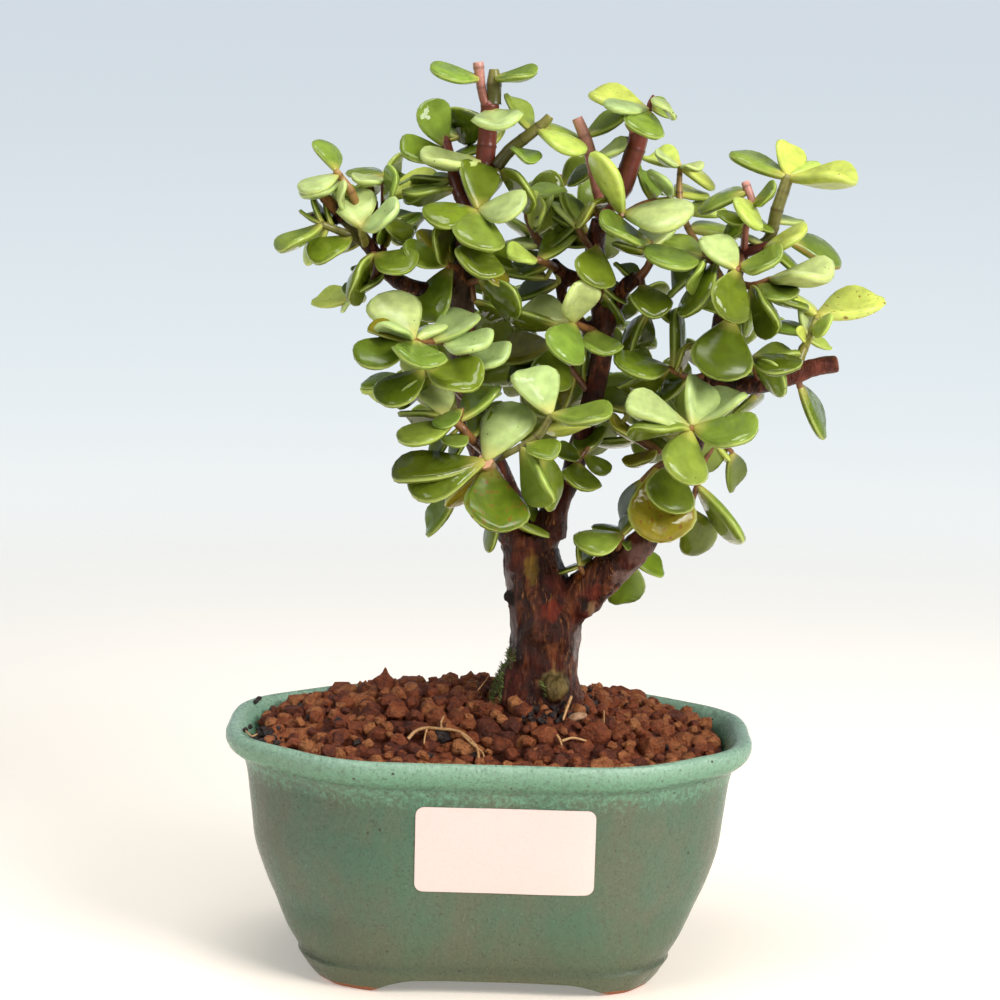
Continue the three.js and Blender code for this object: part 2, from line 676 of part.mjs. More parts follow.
shoot('leader_front', [
  stem([470, 262, 9, 9], [474, 245, 15, 8], [476, 225, 15, 7], [478, 210, 15, 6]),
], [
  leaf(478, 209, 476, 160, 41, 13.5, -1, 1, 'd'),
  leaf(475, 211, 428, 211, 25, 13.5, 1, 1, 'm'),
  leaf(480, 210, 523, 205, 31, 13.5, 1, 1, 'p'),
  leaf(477, 212, 482, 240, 50, 15.5, 1, 1, 'b'),
  leaf(479, 238, 479, 278, 48, 15.5, 1, 1, 'm'),
  leaf(482, 240, 509, 262, 21, 12, -1, 1, 'd'),
  leaf(482, 250, 509, 282, 18, 10.5, 1, 1, 'o'),
]);
shoot('leader_left_low', [
  stem([458, 269, 6, 9], [447, 265, 11, 7]),
], [
  leaf(447, 265, 426, 229, 26, 12, -1, 1, 'o'),
  leaf(451, 268, 417, 314, 32, 14.5, 1, 1, 'o'),
  leaf(444, 266, 404, 241, 25, 11.5, -1, 1, 'd'),
  leaf(451, 262, 444, 224, 20, 12, -1, 1, 'd'),
]);
shoot('leader_right_low', [
  stem([468, 283, 6, 9], [479, 280, 11, 7]),
  stem([472, 284, 7, 6], [474, 300, 9, 6]),
], [
  leaf(479, 280, 514, 313, 25, 14, 1, -1, 'd'),
  leaf(474, 300, 506, 318, 13, 10, -1, -1, 'd'),
]);
shoot('left_branch_mid', [
  stem([384, 272, 6, 9], [378, 264, 10, 8], [374, 254, 13, 7]),
  stem([378, 264, 10, 8], [372, 281, 8, 7], [352, 299, -5, 5]),
], [
  leaf(374, 253, 402, 285, 39, 13, 1, 1, 'm'),
  leaf(366, 254, 347, 299, 17, 14, 1, -1, 'd'),
  leaf(380, 276, 351, 300, 18, 11.5, 1, 1, 'd'),
  leaf(352, 298, 318, 299, 21, 11.5, -1, 1, 'l'),
  leaf(368, 272, 358, 268, 17, 7, -1, 1, 'd'),
  leaf(366, 300, 348, 306, 11, 9, -1, -1, 'p'),
]);
shoot('front_left_heart', [
  stem([464, 346, 6, 9], [458, 344, 14, 8], [445, 342, 22, 7], [413, 341, 30, 6]),
  stem([458, 344, 14, 7], [470, 350, 18, 6]),
], [
  leaf(412, 339, 386, 287, 54, 16, -1, 1, 'p'),
  leaf(414, 340, 419, 373, 54, 16, 1, 1, 'b'),
  leaf(409, 343, 382, 322, 14, 10.5, 1, -1, 'p'),
  leaf(408, 338, 368, 326, 18, 9, -1, 1, 'o'),
  leaf(406, 344, 379, 333, 11, 7, -1, 1, 'l'),
  leaf(406, 346, 357, 360, 35, 14, 1, 1, 'm'),
  leaf(416, 339, 436, 319, 21, 10.5, -1, 1, 'p'),
  leaf(430, 345, 474, 320, 25, 14.5, -1, 1, 'p'),
  leaf(443, 350, 489, 346, 27, 14, 1, 1, 'p'),
  leaf(470, 352, 505, 362, 37, 13, 1, 1, 'p'),
]);
shoot('front_left_round', [
  stem([470, 404, 6, 9], [462, 396, 15, 8], [450, 385, 22, 7], [426, 369, 28, 6]),
], [
  leaf(426, 369, 478, 383, 40, 15.5, 1, 1, 'm'),
  leaf(464, 398, 491, 380, 30, 12, -1, 1, 'p'),
  leaf(424, 374, 380, 402, 36, 14, 1, 1, 'd'),
  leaf(430, 380, 401, 409, 15, 11, 1, -1, 'd'),
  leaf(410, 380, 363, 382, 15, 12, -1, 1, 'm'),
  leaf(410, 390, 363, 392, 13, 12, -1, -1, 'l'),
]);
shoot('front_triangle', [
  stem([486, 456, 6, 10], [483, 450, 18, 10], [470, 438, 28, 10], [458, 424, 30, 9], [444, 417, 32, 6]),
  stem([458, 424, 30, 6], [462, 409, 31, 5]),
], [
  leaf(443, 416, 431, 374, 40, 13, -1, 1, 'p'),
  leaf(461, 409, 437, 427, 17, 8.5, 1, 1, 'b'),
  leaf(459, 420, 496, 393, 19, 14, -1, 1, 'b'),
  leaf(450, 428, 401, 441, 23, 14, 1, 1, 'b'),
  leaf(468, 435, 448, 440, 14, 8, 1, 1, 'b'),
  leaf(472, 438, 488, 415, 20, 9.5, -1, 1, 'm'),
  leaf(442, 418, 404, 418, 21, 12, -1, -1, 'd'),
  leaf(450, 436, 430, 458, 14, 9, -1, 1, 'm'),
  leaf(462, 440, 450, 458, 12, 8, -1, 1, 'm'),
]);
shoot('front_low_great', [
  stem([503, 492, 4, 13], [499, 480, 18, 12], [485, 461, 34, 14]),
], [
  leaf(479, 463, 407, 482, 43, 17.5, 1, 1, 'm'),
  leaf(487, 467, 498, 533, 64, 19.5, 1, 1, 'm'),
  leaf(493, 455, 517, 398, 52, 16.5, -1, 1, 'p'),
  leaf(480, 469, 455, 507, 23, 14, -1, -1, 'o'),
  leaf(474, 462, 393, 482, 30, 17, -1, 1, 'd'),
]);
shoot('front_low_under', [
  stem([509, 518, 2, 9], [507, 516, 12, 8], [495, 510, 14, 7], [455, 497, 16, 6]),
], [
  leaf(455, 498, 432, 531, 19, 12, -1, 1, 'm'),
  leaf(505, 512, 545, 527, 30, 14, -1, 1, 'm'),
  leaf(500, 516, 480, 546, 18, 10, -1, 1, 'm'),
]);
shoot('front_right_heart', [
  stem([490, 468, 6, 9], [492, 462, 18, 8], [505, 455, 32, 7], [522, 446, 34, 7], [540, 434, 34, 9],
    [551, 415, 34, 7]),
], [
  leaf(552, 413, 526, 367, 47, 14.5, -1, 1, 'p'),
  leaf(551, 415, 611, 417, 22, 15, 1, 1, 'l'),
  leaf(545, 430, 585, 428, 12, 13, -1, -1, 'l'),
  leaf(522, 448, 549, 505, 26, 15.5, 1, -1, 'b'),
  leaf(540, 450, 557, 505, 26, 15, -1, 1, 'm'),
  leaf(530, 446, 553, 456, 26, 10, 1, 1, 'o'),
]);
shoot('centre_low_cluster', [
  stem([568, 485, -1, 8], [576, 464, 8, 6], [588, 448, 6, 5]),
], [
  leaf(576, 462, 582, 491, 38, 12.5, 1, 1, 'm'),
  leaf(578, 452, 558, 452, 20, 7.5, 1, 1, 'd'),
  leaf(590, 460, 609, 470, 18, 7, 1, 1, 'm'),
  leaf(588, 458, 594, 431, 28, 11.5, -1, 1, 'd'),
]);
shoot('mid_right_twig', [
  stem([595, 405, -4, 11], [620, 425, -2, 11], [645, 443, 2, 10], [660, 452, 4, 7]),
], [
  leaf(630, 412, 591, 393, 22, 13.5, -1, 1, 'd'),
  leaf(640, 432, 609, 428, 18, 11, 1, 1, 'o'),
  leaf(656, 451, 629, 467, 16, 10, 1, 1, 'o'),
  leaf(636, 440, 602, 452, 14, 11, -1, -1, 'd'),
  leaf(650, 440, 672, 448, 18, 10, -1, 1, 'd'),
]);
shoot('mid_left_sprays', [
  stem([556, 268, -1, 9], [545, 262, 7, 8], [537, 260, 9, 7]),
  stem([545, 262, 7, 8], [541, 246, -1, 9], [533, 232, -4, 8], [526, 212, -7, 6], [527, 197, -8, 5]),
], [
  leaf(528, 198, 560, 186, 19, 11.5, -1, 1, 'b'),
  leaf(532, 230, 542, 196, 24, 12, -1, -1, 'b'),
  leaf(530, 225, 546, 206, 18, 9, 1, 1, 'l'),
  leaf(534, 230, 541, 222, 10, 5, 1, 1, 'd'),
  leaf(530, 232, 504, 228, 20, 11, -1, -1, 'b'),
  leaf(538, 248, 510, 240, 12, 10, -1, 1, 'p'),
  leaf(537, 261, 510, 254, 17, 10, 1, 1, 'l'),
  leaf(538, 260, 571, 240, 18, 12, -1, 1, 'm'),
  leaf(543, 254, 575, 218, 14, 12.5, -1, 1, 'd'),
  leaf(546, 278, 507, 265, 19, 12.5, -1, 1, 'd'),
  leaf(559, 282, 518, 302, 13, 13, -1, 1, 'd'),
]);
shoot('centre_olive_upright', [
  stem([594, 252, -2, 8], [583, 237, 4, 7], [578, 228, 5, 6]),
], [
  leaf(577, 228, 567, 197, 20, 11, -1, 1, 'm'),
  leaf(580, 228, 592, 199, 14, 12, 1, -1, 'o'),
  leaf(584, 240, 556, 222, 16, 11, -1, -1, 'd'),
  leaf(578, 230, 562, 200, 12, 10, -1, 1, 'p'),
  leaf(588, 246, 563, 246, 9, 8, -1, 1, 'd'),
]);
shoot('centre_heart_pair', [
  stem([600, 338, -2, 9], [592, 330, 5, 8], [585, 328, 8, 8], [573, 323, 12, 7]),
], [
  leaf(573, 322, 582, 284, 36, 12.5, 1, 1, 'p'),
  leaf(573, 324, 566, 353, 45, 14, 1, 1, 'b'),
  leaf(570, 323, 521, 306, 28, 14.5, -1, 1, 'p'),
  leaf(596, 326, 605, 356, 38, 13, 1, 1, 'b'),
  leaf(560, 324, 503, 325, 20, 14, -1, -1, 'd'),
]);
shoot('centre_wet_low', [
  stem([592, 396, -4, 8], [572, 370, -1, 7], [556, 346, 2, 6]),
], [
  leaf(554, 342, 553, 385, 43, 13.5, 1, 1, 'm'),
  leaf(554, 350, 501, 353, 32, 15, -1, 1, 'o'),
  leaf(556, 360, 506, 380, 17, 13, -1, 1, 'd'),
  leaf(574, 374, 560, 406, 20, 10, -1, 1, 'o'),
  leaf(584, 386, 586, 354, 14, 10, -1, 1, 'd'),
]);
shoot('centre_round_wet', [
  stem([596, 266, -1, 8], [597, 246, 11, 6]),
  stem([600, 302, -2, 8], [601, 286, 6, 6], [597, 246, 11, 6]),
], [
  leaf(597, 244, 594, 285, 43, 13.5, 1, 1, 'm'),
  leaf(602, 284, 621, 300, 13, 9, -1, 1, 'd'),
  leaf(602, 290, 616, 326, 20, 11, -1, -1, 'd'),
]);
shoot('crown_top', [
  stem([602, 216, 0, 20], [609, 203, 2, 20], [622, 188, 4, 20], [630, 165, 4, 20], [637, 143, 4, 20],
    [640, 129, 4, 20]),
  stem([634, 133, 5, 7], [627, 123, 6, 7]),
  stem([643, 130, 6, 7], [648, 116, 8, 6], [650, 104, 8, 6], [655, 96, 8, 6]),
], [
  leaf(640, 110, 592, 98, 21, 14, -1, 1, 'l'),
  leaf(645, 108, 607, 106, 12, 11, 1, 1, 'p'),
  leaf(648, 112, 645, 129, 46, 14, 1, 1, 'b'),
  leaf(650, 98, 673, 108, 8, 9.5, 1, -1, 'p'),
  leaf(650, 106, 668, 114, 15, 9, -1, 1, 'b'),
  leaf(630, 140, 608, 150, 13, 9, -1, 1, 'd'),
]);
shoot('crown_left_fork', [
  stem([605, 210, 2, 15], [599, 190, 2, 14], [593, 165, 3, 13], [588, 145, 4, 12], [583, 132, 4, 12],
    [577, 118, 4, 11]),
], [
  leaf(596, 158, 627, 150, 16, 10.5, 1, 1, 'p'),
  leaf(593, 172, 570, 177, 20, 9, -1, 1, 'd'),
  leaf(598, 166, 620, 172, 13, 9, -1, -1, 'd'),
  leaf(590, 135, 626, 113, 15, 12, -1, 1, 'b'),
]);
shoot('right_sub_bright', [
  stem([603, 230, 0, 9], [613, 222, 9, 8], [622, 215, 14, 7]),
  stem([622, 215, 12, 6], [640, 205, 8, 6], [655, 200, 4, 5]),
], [
  leaf(623, 216, 590, 160, 16, 17, 1, -1, 'l'),
  leaf(623, 213, 686, 207, 28, 18, 1, 1, 'p'),
  leaf(652, 200, 643, 168, 21, 12, -1, 1, 'b'),
  leaf(672, 198, 651, 177, 9, 10, 1, -1, 'p'),
]);
shoot('right_sub_mid', [
  stem([640, 277, 7, 10], [650, 262, 10, 8], [650, 242, 13, 6]),
  stem([640, 277, 6, 9], [644, 296, 6, 7], [648, 314, 4, 5]),
], [
  leaf(650, 239, 599, 230, 24, 15, 1, 1, 'b'),
  leaf(640, 248, 666, 230, 27, 13.5, -1, 1, 'p'),
  leaf(650, 252, 617, 254, 14, 11, -1, -1, 'd'),
  leaf(638, 284, 618, 263, 13, 9, -1, 1, 'd'),
  leaf(644, 284, 655, 315, 38, 12.5, 1, 1, 'd'),
  leaf(652, 296, 678, 314, 17, 9.5, -1, 1, 'm'),
  leaf(648, 312, 634, 353, 19, 12, -1, 1, 'd'),
  leaf(638, 316, 618, 345, 20, 10, -1, 1, 'd'),
]);
shoot('right_bright', [
  stem([738, 262, -1, 9], [722, 262, 10, 7], [702, 259, 14, 6]),
], [
  leaf(702, 258, 650, 257, 23, 15.5, 1, 1, 'b'),
  leaf(700, 256, 668, 235, 23, 12.5, -1, 1, 'b'),
  leaf(706, 262, 690, 287, 11, 10.5, 1, -1, 'b'),
  leaf(700, 266, 670, 290, 21, 13, -1, 1, 'm'),
  leaf(716, 266, 680, 309, 17, 16, 1, 1, 'd'),
]);
shoot('right_inner', [
  stem([714, 372, 6, 9], [692, 378, 6, 7], [669, 368, 8, 6]),
], [
  leaf(668, 366, 619, 364, 26, 15, 1, 1, 'm'),
  leaf(672, 374, 690, 315, 18, 17, -1, 1, 'd'),
  leaf(680, 376, 684, 346, 16, 10, 1, 1, 'o'),
  leaf(662, 366, 622, 392, 23, 13, -1, -1, 'd'),
  leaf(688, 380, 660, 396, 17, 9, -1, 1, 'd'),
]);
shoot('right_heart_pair', [
  stem([740, 258, -1, 9], [740, 264, 16, 7], [737, 270, 22, 6]),
  stem([740, 264, 12, 6], [734, 292, 12, 6], [730, 318, 15, 6]),
], [
  leaf(737, 271, 708, 238, 31, 13, -1, 1, 'p'),
  leaf(738, 266, 781, 260, 25, 13, 1, 1, 'b'),
  leaf(738, 269, 727, 319, 43, 14.5, 1, 1, 'm'),
  leaf(729, 320, 718, 378, 64, 18, 1, 1, 'd'),
  leaf(720, 312, 700, 304, 13, 7, -1, 1, 'm'),
]);
shoot('right_middle_fan', [
  stem([734, 282, 0, 9], [752, 286, 9, 8], [770, 279, 10, 6]),
], [
  leaf(770, 277, 829, 273, 19, 17.5, 1, 1, 'p'),
  leaf(757, 282, 791, 297, 22, 12.5, 1, 1, 'b'),
  leaf(754, 288, 803, 303, 23, 15.5, -1, 1, 'd'),
  leaf(750, 289, 775, 329, 22, 15.5, 1, -1, 'o'),
  leaf(750, 292, 756, 334, 15, 12, -1, 1, 'b'),
]);
shoot('right_top_fan', [
  stem([742, 254, -3, 10], [765, 247, 0, 10], [788, 241, -4, 7]),
], [
  leaf(765, 252, 748, 230, 14, 10.5, -1, 1, 'p'),
  leaf(762, 242, 803, 232, 16, 13.5, 1, 1, 'l'),
  leaf(767, 250, 802, 263, 15, 12, -1, 1, 'm'),
  leaf(788, 240, 842, 250, 30, 15.5, -1, 1, 'b'),
]);
shoot('right_top_lime', [
  stem([744, 248, -2, 8], [746, 228, 5, 7], [753, 206, 4, 8], [745, 182, 2, 9]),
], [
  leaf(755, 203, 776, 190, 16, 9, 1, 1, 'm'),
  leaf(750, 205, 746, 219, 40, 12.5, 1, -1, 'l'),
  leaf(745, 218, 723, 213, 10, 8.5, 1, 1, 'm'),
  leaf(747, 222, 767, 224, 17, 9.5, -1, 1, 'm'),
  leaf(748, 192, 700, 198, 19, 14.5, -1, 1, 'b'),
  leaf(746, 226, 726, 238, 14, 8, -1, 1, 'm'),
]);
shoot('top_right_olive', [
  stem([745, 250, -4, 9], [768, 240, -5, 12], [777, 210, -4, 13], [788, 178, -5, 12]),
], [
  leaf(785, 178, 734, 152, 19, 15.5, -1, 1, 'p'),
  leaf(789, 175, 787, 147, 31, 11, -1, 1, 'l'),
  leaf(792, 175, 812, 157, 18, 9.5, -1, 1, 'l'),
  leaf(790, 179, 858, 178, 17, 17, 1, 1, 'b'),
  leaf(776, 222, 797, 219, 10, 9.5, -1, 1, 'p'),
]);
shoot('back_backlit', [
  stem([728, 290, -1, 8], [712, 262, -5, 7], [690, 232, -9, 7], [680, 200, -13, 7], [680, 165, -14, 5]),
], [
  leaf(680, 165, 649, 154, 24, 11.5, -1, 1, 'l'),
  leaf(682, 168, 716, 179, 16, 10.5, -1, 1, 'l'),
  leaf(681, 166, 656, 156, 8, 8, 1, 1, 'p'),
  leaf(682, 166, 700, 168, 6, 7, 1, 1, 'p'),
  leaf(680, 195, 698, 190, 23, 11.5, -1, 1, 'l'),
  leaf(679, 196, 661, 184, 15, 8.5, -1, 1, 'l'),
  leaf(684, 212, 722, 207, 18, 12, -1, 1, 'l'),
  leaf(690, 230, 733, 222, 21, 14.5, -1, 1, 'l'),
]);
shoot('far_right_yellow', [
  stem([797, 366, 10, 11], [803, 350, 8, 10], [808, 340, 5, 8], [817, 316, 0, 5]),
], [
  leaf(816, 315, 787, 284, 14, 13.5, -1, 1, 'l'),
  leaf(820, 317, 877, 299, 31, 17.5, -1, 1, 'l'),
  leaf(812, 330, 826, 321, 15, 8.5, 1, 1, 'l'),
  leaf(807, 338, 798, 308, 10, 10, -1, 1, 'p'),
  leaf(810, 341, 829, 347, 9, 6.5, -1, 1, 'l'),
  leaf(806, 334, 776, 318, 17, 10, -1, 1, 'b'),
  leaf(806, 342, 797, 330, 9, 5, 1, 1, 'l'),
]);
shoot('stub_leaves', [
  stem([760, 380, 11, 8], [754, 366, 14, 7], [752, 358, 14, 6]),
], [
  leaf(753, 360, 779, 391, 21, 13, 1, -1, 'b'),
  leaf(752, 356, 794, 361, 17, 14, 1, 1, 'd'),
  leaf(752, 354, 797, 352, 13, 12, -1, 1, 'b'),
  leaf(750, 362, 732, 377, 9, 6, -1, 1, 'l'),
]);
shoot('stub_hanging', [
  stem([798, 378, 9, 8], [800, 387, 7, 7]),
], [
  leaf(800, 385, 826, 432, 19, 15, -1, 1, 'o'),
]);
shoot('stub_under', [
  stem([758, 386, 8, 8], [757, 395, 2, 6]),
], [
  leaf(757, 392, 748, 417, 23, 11.5, -1, 1, 'm'),
]);
shoot('right_front_cross', [
  stem([703, 422, 10, 9], [696, 426, 22, 8], [689, 430, 30, 8]),
], [
  leaf(689, 425, 630, 405, 25, 17, 1, 1, 'p'),
  leaf(686, 434, 633, 421, 14, 15, 1, -1, 'm'),
  leaf(690, 425, 702, 378, 39, 14, -1, 1, 'p'),
  leaf(692, 425, 741, 390, 29, 15.5, -1, 1, 'p'),
  leaf(696, 436, 756, 436, 38, 16.5, 1, 1, 'b'),
  leaf(688, 434, 683, 481, 49, 15.5, 1, 1, 'b'),
]);
shoot('right_front_low', [
  stem([692, 452, 12, 9], [678, 462, 16, 8], [660, 465, 14, 7], [642, 480, 10, 5]),
], [
  leaf(673, 465, 669, 511, 51, 15.5, 1, 1, 'd'),
  leaf(656, 466, 662, 541, 69, 20, 1, 1, 'o'),
  leaf(640, 482, 620, 520, 21, 12, -1, 1, 'd'),
]);
shoot('right_low_back', [
  stem([704, 412, 6, 7], [716, 436, -6, 6], [704, 462, -6, 6], [697, 486, -4, 6], [690, 508, -8, 5]),
  stem([716, 436, -6, 6], [732, 452, -9, 5]),
], [
  leaf(698, 486, 740, 545, 16, 17, 1, -1, 'b'),
  leaf(688, 512, 706, 556, 43, 13, -1, 1, 'm'),
  leaf(732, 452, 731, 485, 18, 11, -1, 1, 'm'),
  leaf(712, 440, 720, 463, 17, 9, -1, -1, 'l'),
]);
shoot('low_branch_leaves', [
  stem([616, 562, 10, 7], [622, 536, 16, 6]),
], [
  leaf(623, 534, 581, 540, 25, 13, 1, 1, 'b'),
  leaf(621, 533, 599, 520, 15, 9, -1, 1, 'd'),
  leaf(623, 534, 636, 508, 18, 10, -1, 1, 'm'),
  leaf(628, 541, 629, 550, 6, 3, 1, 1, 'b'),
]);
shoot('low_branch_inner', [
  stem([590, 586, 6, 6], [580, 567, 10, 5]),
], [
  leaf(579, 565, 584, 536, 19, 10, -1, 1, 'd'),
  leaf(579, 567, 562, 566, 11, 7, -1, 1, 'd'),
]);
shoot('low_branch_back', [
  stem([630, 556, 8, 7], [632, 560, -2, 7], [632, 562, -10, 6]),
], [
  leaf(630, 562, 622, 602, 36, 12.5, -1, 1, 'm'),
  leaf(640, 554, 660, 571, 22, 9, -1, 1, 'm'),
]);

rearShoot('rear_leader', [
  stem([474, 420, 2, 11], [462, 402, -14, 9], [440, 372, -30, 7], [432, 340, -42, 5]),
  stem([458, 396, -17, 8], [476, 362, -26, 7], [488, 322, -34, 6], [494, 286, -40, 5]),
], 4, 14);
rearShoot('rear_centre', [
  stem([584, 430, -6, 11], [566, 410, -22, 9], [548, 384, -38, 7], [536, 346, -48, 5]),
  stem([562, 404, -25, 8], [590, 366, -34, 7], [612, 330, -40, 6], [626, 290, -46, 5]),
], 4, 14);
rearShoot('rear_crown', [
  stem([596, 248, -4, 9], [582, 226, -18, 8], [566, 204, -30, 6], [560, 176, -38, 5]),
], 4, 12.5);
rearShoot('rear_right', [
  stem([694, 445, 8, 10], [676, 428, -10, 9], [662, 404, -26, 7], [656, 372, -38, 5]),
  stem([674, 424, -13, 8], [704, 396, -24, 7], [728, 360, -32, 6], [744, 318, -38, 5]),
], 4, 13);

const outline = rimOutline();
const bonsai = new THREE.Group();

function addPiece(name, geometry, look) {
  geometry.computeVertexNormals();
  const mesh = new THREE.Mesh(geometry, new THREE.MeshStandardMaterial({ metalness: 0, ...look }));
  mesh.name = name;
  bonsai.add(mesh);
}

// The largest body of a solid, so that no crumb is left where pieces were kept apart.
function largestBody(solid) {
  return solid.decompose().sort((a, b) => b.volume() - a.volume())[0];
}

// Soil

function soilHeight(x, y) {
  const along = x / (POT_LENGTH / 2);
  const back = (y - SOIL_CROWN_BACK) / (POT_DEPTH / 2);
  const reach = Math.hypot(along, back) / SOIL_EDGE_SHARE;
  return SOIL_EDGE_HEIGHT + SOIL_CROWN_RISE * Math.max(0, 1 - reach ** 2);
}

// Fills the pot inside its wall and rises to a crown a little behind the middle.
function soilSolid() {
  const upward = [...POT_INNER_WALL].reverse();
  const rings = upward.map(([share, height]) => scaledRing(outline, share, height + SEAT_GAP, SEAT_GAP));
  [SOIL_EDGE_SHARE, ...SOIL_TOP_SHARES].forEach((share) => {
    const ring = scaledRing(outline, share, 0, SEAT_GAP);
    rings.push(ring.map((p) => p.setZ(soilHeight(p.x, p.y))));
  });
  const start = new THREE.Vector3(0, 0, POT_FLOOR_TOP + SEAT_GAP);
  const end = new THREE.Vector3(0, 0, soilHeight(0, 0));
  return toManifold(loft(start, rings, end));
}

// The place on the soil that shows at a column and a row, looking from the front.
function onSoil(column, row, lift) {
  for (let toward = POT_DEPTH / 2; toward > -POT_DEPTH / 2; toward -= SOIL_STEP) {
    const place = fromView(column, row, toward);
    if (place.z <= soilHeight(place.x, place.y) + lift) {
      return place;
    }
  }
  return fromView(column, row, 0);
}

function surfaceRoot(rows) {
  const points = rows.map(([column, row, width]) => ({
    centre: onSoil(column, row, width / 2),
    radius: width / 2,
  }));
  return limbSolid(points, ROOT_SIDES);
}

// A squashed ball on the soil.
function soilStone([column, row], [length, depth, height]) {
  const ball = new THREE.IcosahedronGeometry(0.5, BALL_DETAIL);
  const place = onSoil(column, row, height / 2);
  ball.scale(length, depth, height);
  ball.translate(place.x, place.y, place.z);
  return toManifold(ball);
}

// Trunk

// A root that runs out and down from under the trunk.
function rootLimb([turnDeg, reach], grow) {
  const turn = THREE.MathUtils.degToRad(turnDeg);
  const crown = fromView(...ROOT_CROWN_PLACE);
  const at = (share, height, radius) => {
    const x = crown.x + Math.cos(turn) * reach * share;
    const y = Math.sin(turn) * reach * share;
    return { centre: new THREE.Vector3(x, y, height), radius };
  };
  const points = [
    at(0, ROOT_CROWN_HEIGHT, ROOT_CROWN_RADIUS),
    at(0.5, (ROOT_CROWN_HEIGHT + ROOT_TIP_HEIGHT) / 2, ROOT_MIDDLE_RADIUS),
    at(1, ROOT_TIP_HEIGHT, ROOT_TIP_RADIUS),
  ];
  return limbSolid(points, ROOT_SIDES, grow);
}

function trunkSolid(grow = 0) {
  const limbs = TRUNK_LIMBS.map((rows) => limbSolid(rows.map(limbPoint), TRUNK_SIDES, grow));
  const roots = ROOT_TURNS.map((root) => rootLimb(root, grow));
  const swellings = TRUNK_BURLS.map((point) => burl(point, grow));
  return wasm.Manifold.union([...limbs, ...roots, ...swellings]);
}

// Shoots

function stemSolid(stems, grow = 0) {
  return wasm.Manifold.union(stems.map((rows) => limbSolid(rows.map(limbPoint), STEM_SIDES, grow)));
}

function foliageSolid(poses, grow = 0) {
  return wasm.Manifold.union(poses.flatMap((pose) => leafParts(pose, grow)));
}

const pot = potSolid(outline);
addPiece('pot', toGeometry(pot), COLOURS.glaze);
addPiece('drainage_mesh_left', drainageMesh(-DRAIN_HOLE_OFFSET), COLOURS.mesh);
addPiece('drainage_mesh_right', drainageMesh(DRAIN_HOLE_OFFSET), COLOURS.mesh);
const label = toManifold(labelGeometry()).subtract(pot.translate(0, -SEAT_GAP / 2, 0));
addPiece('pot_label', toGeometry(largestBody(label)), COLOURS.label);

const trunk = trunkSolid();
const trunkRoom = trunkSolid(SEAT_GAP);
addPiece('trunk', toGeometry(trunk), COLOURS.bark);

const plateRoom = [-DRAIN_HOLE_OFFSET, DRAIN_HOLE_OFFSET].map((x) => {
  const size = MESH_SIZE + SEAT_GAP * 2;
  const height = MESH_THICKNESS + SEAT_GAP * 4;
  const room = new THREE.BoxGeometry(size, size, height);
  room.translate(x, 0, POT_FLOOR_TOP + height / 2);
  return toManifold(room);
});
const soil = wasm.Manifold.difference([soilSolid(), trunkRoom, ...plateRoom]);
addPiece('soil', toGeometry(largestBody(soil)), COLOURS.soil);

const soilRoom = soil.add(soil.translate(0, 0, SEAT_GAP));
const onTheSoil = {
  surface_root_left: [surfaceRoot(LEFT_ROOT), COLOURS.root],
  surface_root_right: [surfaceRoot(RIGHT_ROOT), COLOURS.root],
  tan_pebble: [soilStone(PEBBLE_PLACE, PEBBLE_SIZE), COLOURS.pebble],
  cone_granule: [soilStone(GRANULE_PLACE, GRANULE_SIZE), COLOURS.soil],
};
Object.entries(onTheSoil).forEach(([name, [solid, look]]) => {
  addPiece(name, toGeometry(largestBody(wasm.Manifold.difference([solid, soilRoom, trunkRoom]))), look);
});

const moss = wasm.Manifold.difference([burl(MOSS_PAD), trunkRoom, soilRoom]);
addPiece('moss_patch', toGeometry(largestBody(moss)), COLOURS.moss);

// Each shoot keeps clear of the trunk, of every other shoot's stems and of the leaves built before it.
const stemRooms = shoots.map(({ stems }) => stemSolid(stems, SEAT_GAP));
const plantStems = shoots.map(({ stems }, index) =>
  wasm.Manifold.difference([stemSolid(stems), trunkRoom, ...stemRooms.slice(0, index)]),
);
let taken = trunkRoom;
shoots.forEach(({ name, poses, tone }, index) => {
  const otherStems = stemRooms.filter((_, other) => other !== index);
  const leaves = wasm.Manifold.difference([foliageSolid(poses), taken, ...otherStems]);
  const whole = largestBody(wasm.Manifold.union([plantStems[index], leaves]));
  addPiece(name, toGeometry(whole), LEAF_TONES[tone]);
  taken = taken.add(foliageSolid(poses, SEAT_GAP));
});

const box = new THREE.Box3().setFromObject(bonsai);
const middle = box.getCenter(new THREE.Vector3());
bonsai.position.set(-middle.x, -middle.y, -box.min.z);

export default bonsai;
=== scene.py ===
"""Looks of a dwarf jade bonsai in a glazed stoneware pot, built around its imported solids."""
import logging
import math
import random
from dataclasses import dataclass, field
from enum import Enum
from functools import partial
from typing import Callable, Iterable, Sequence

import bpy
from mathutils import Matrix, Vector, noise


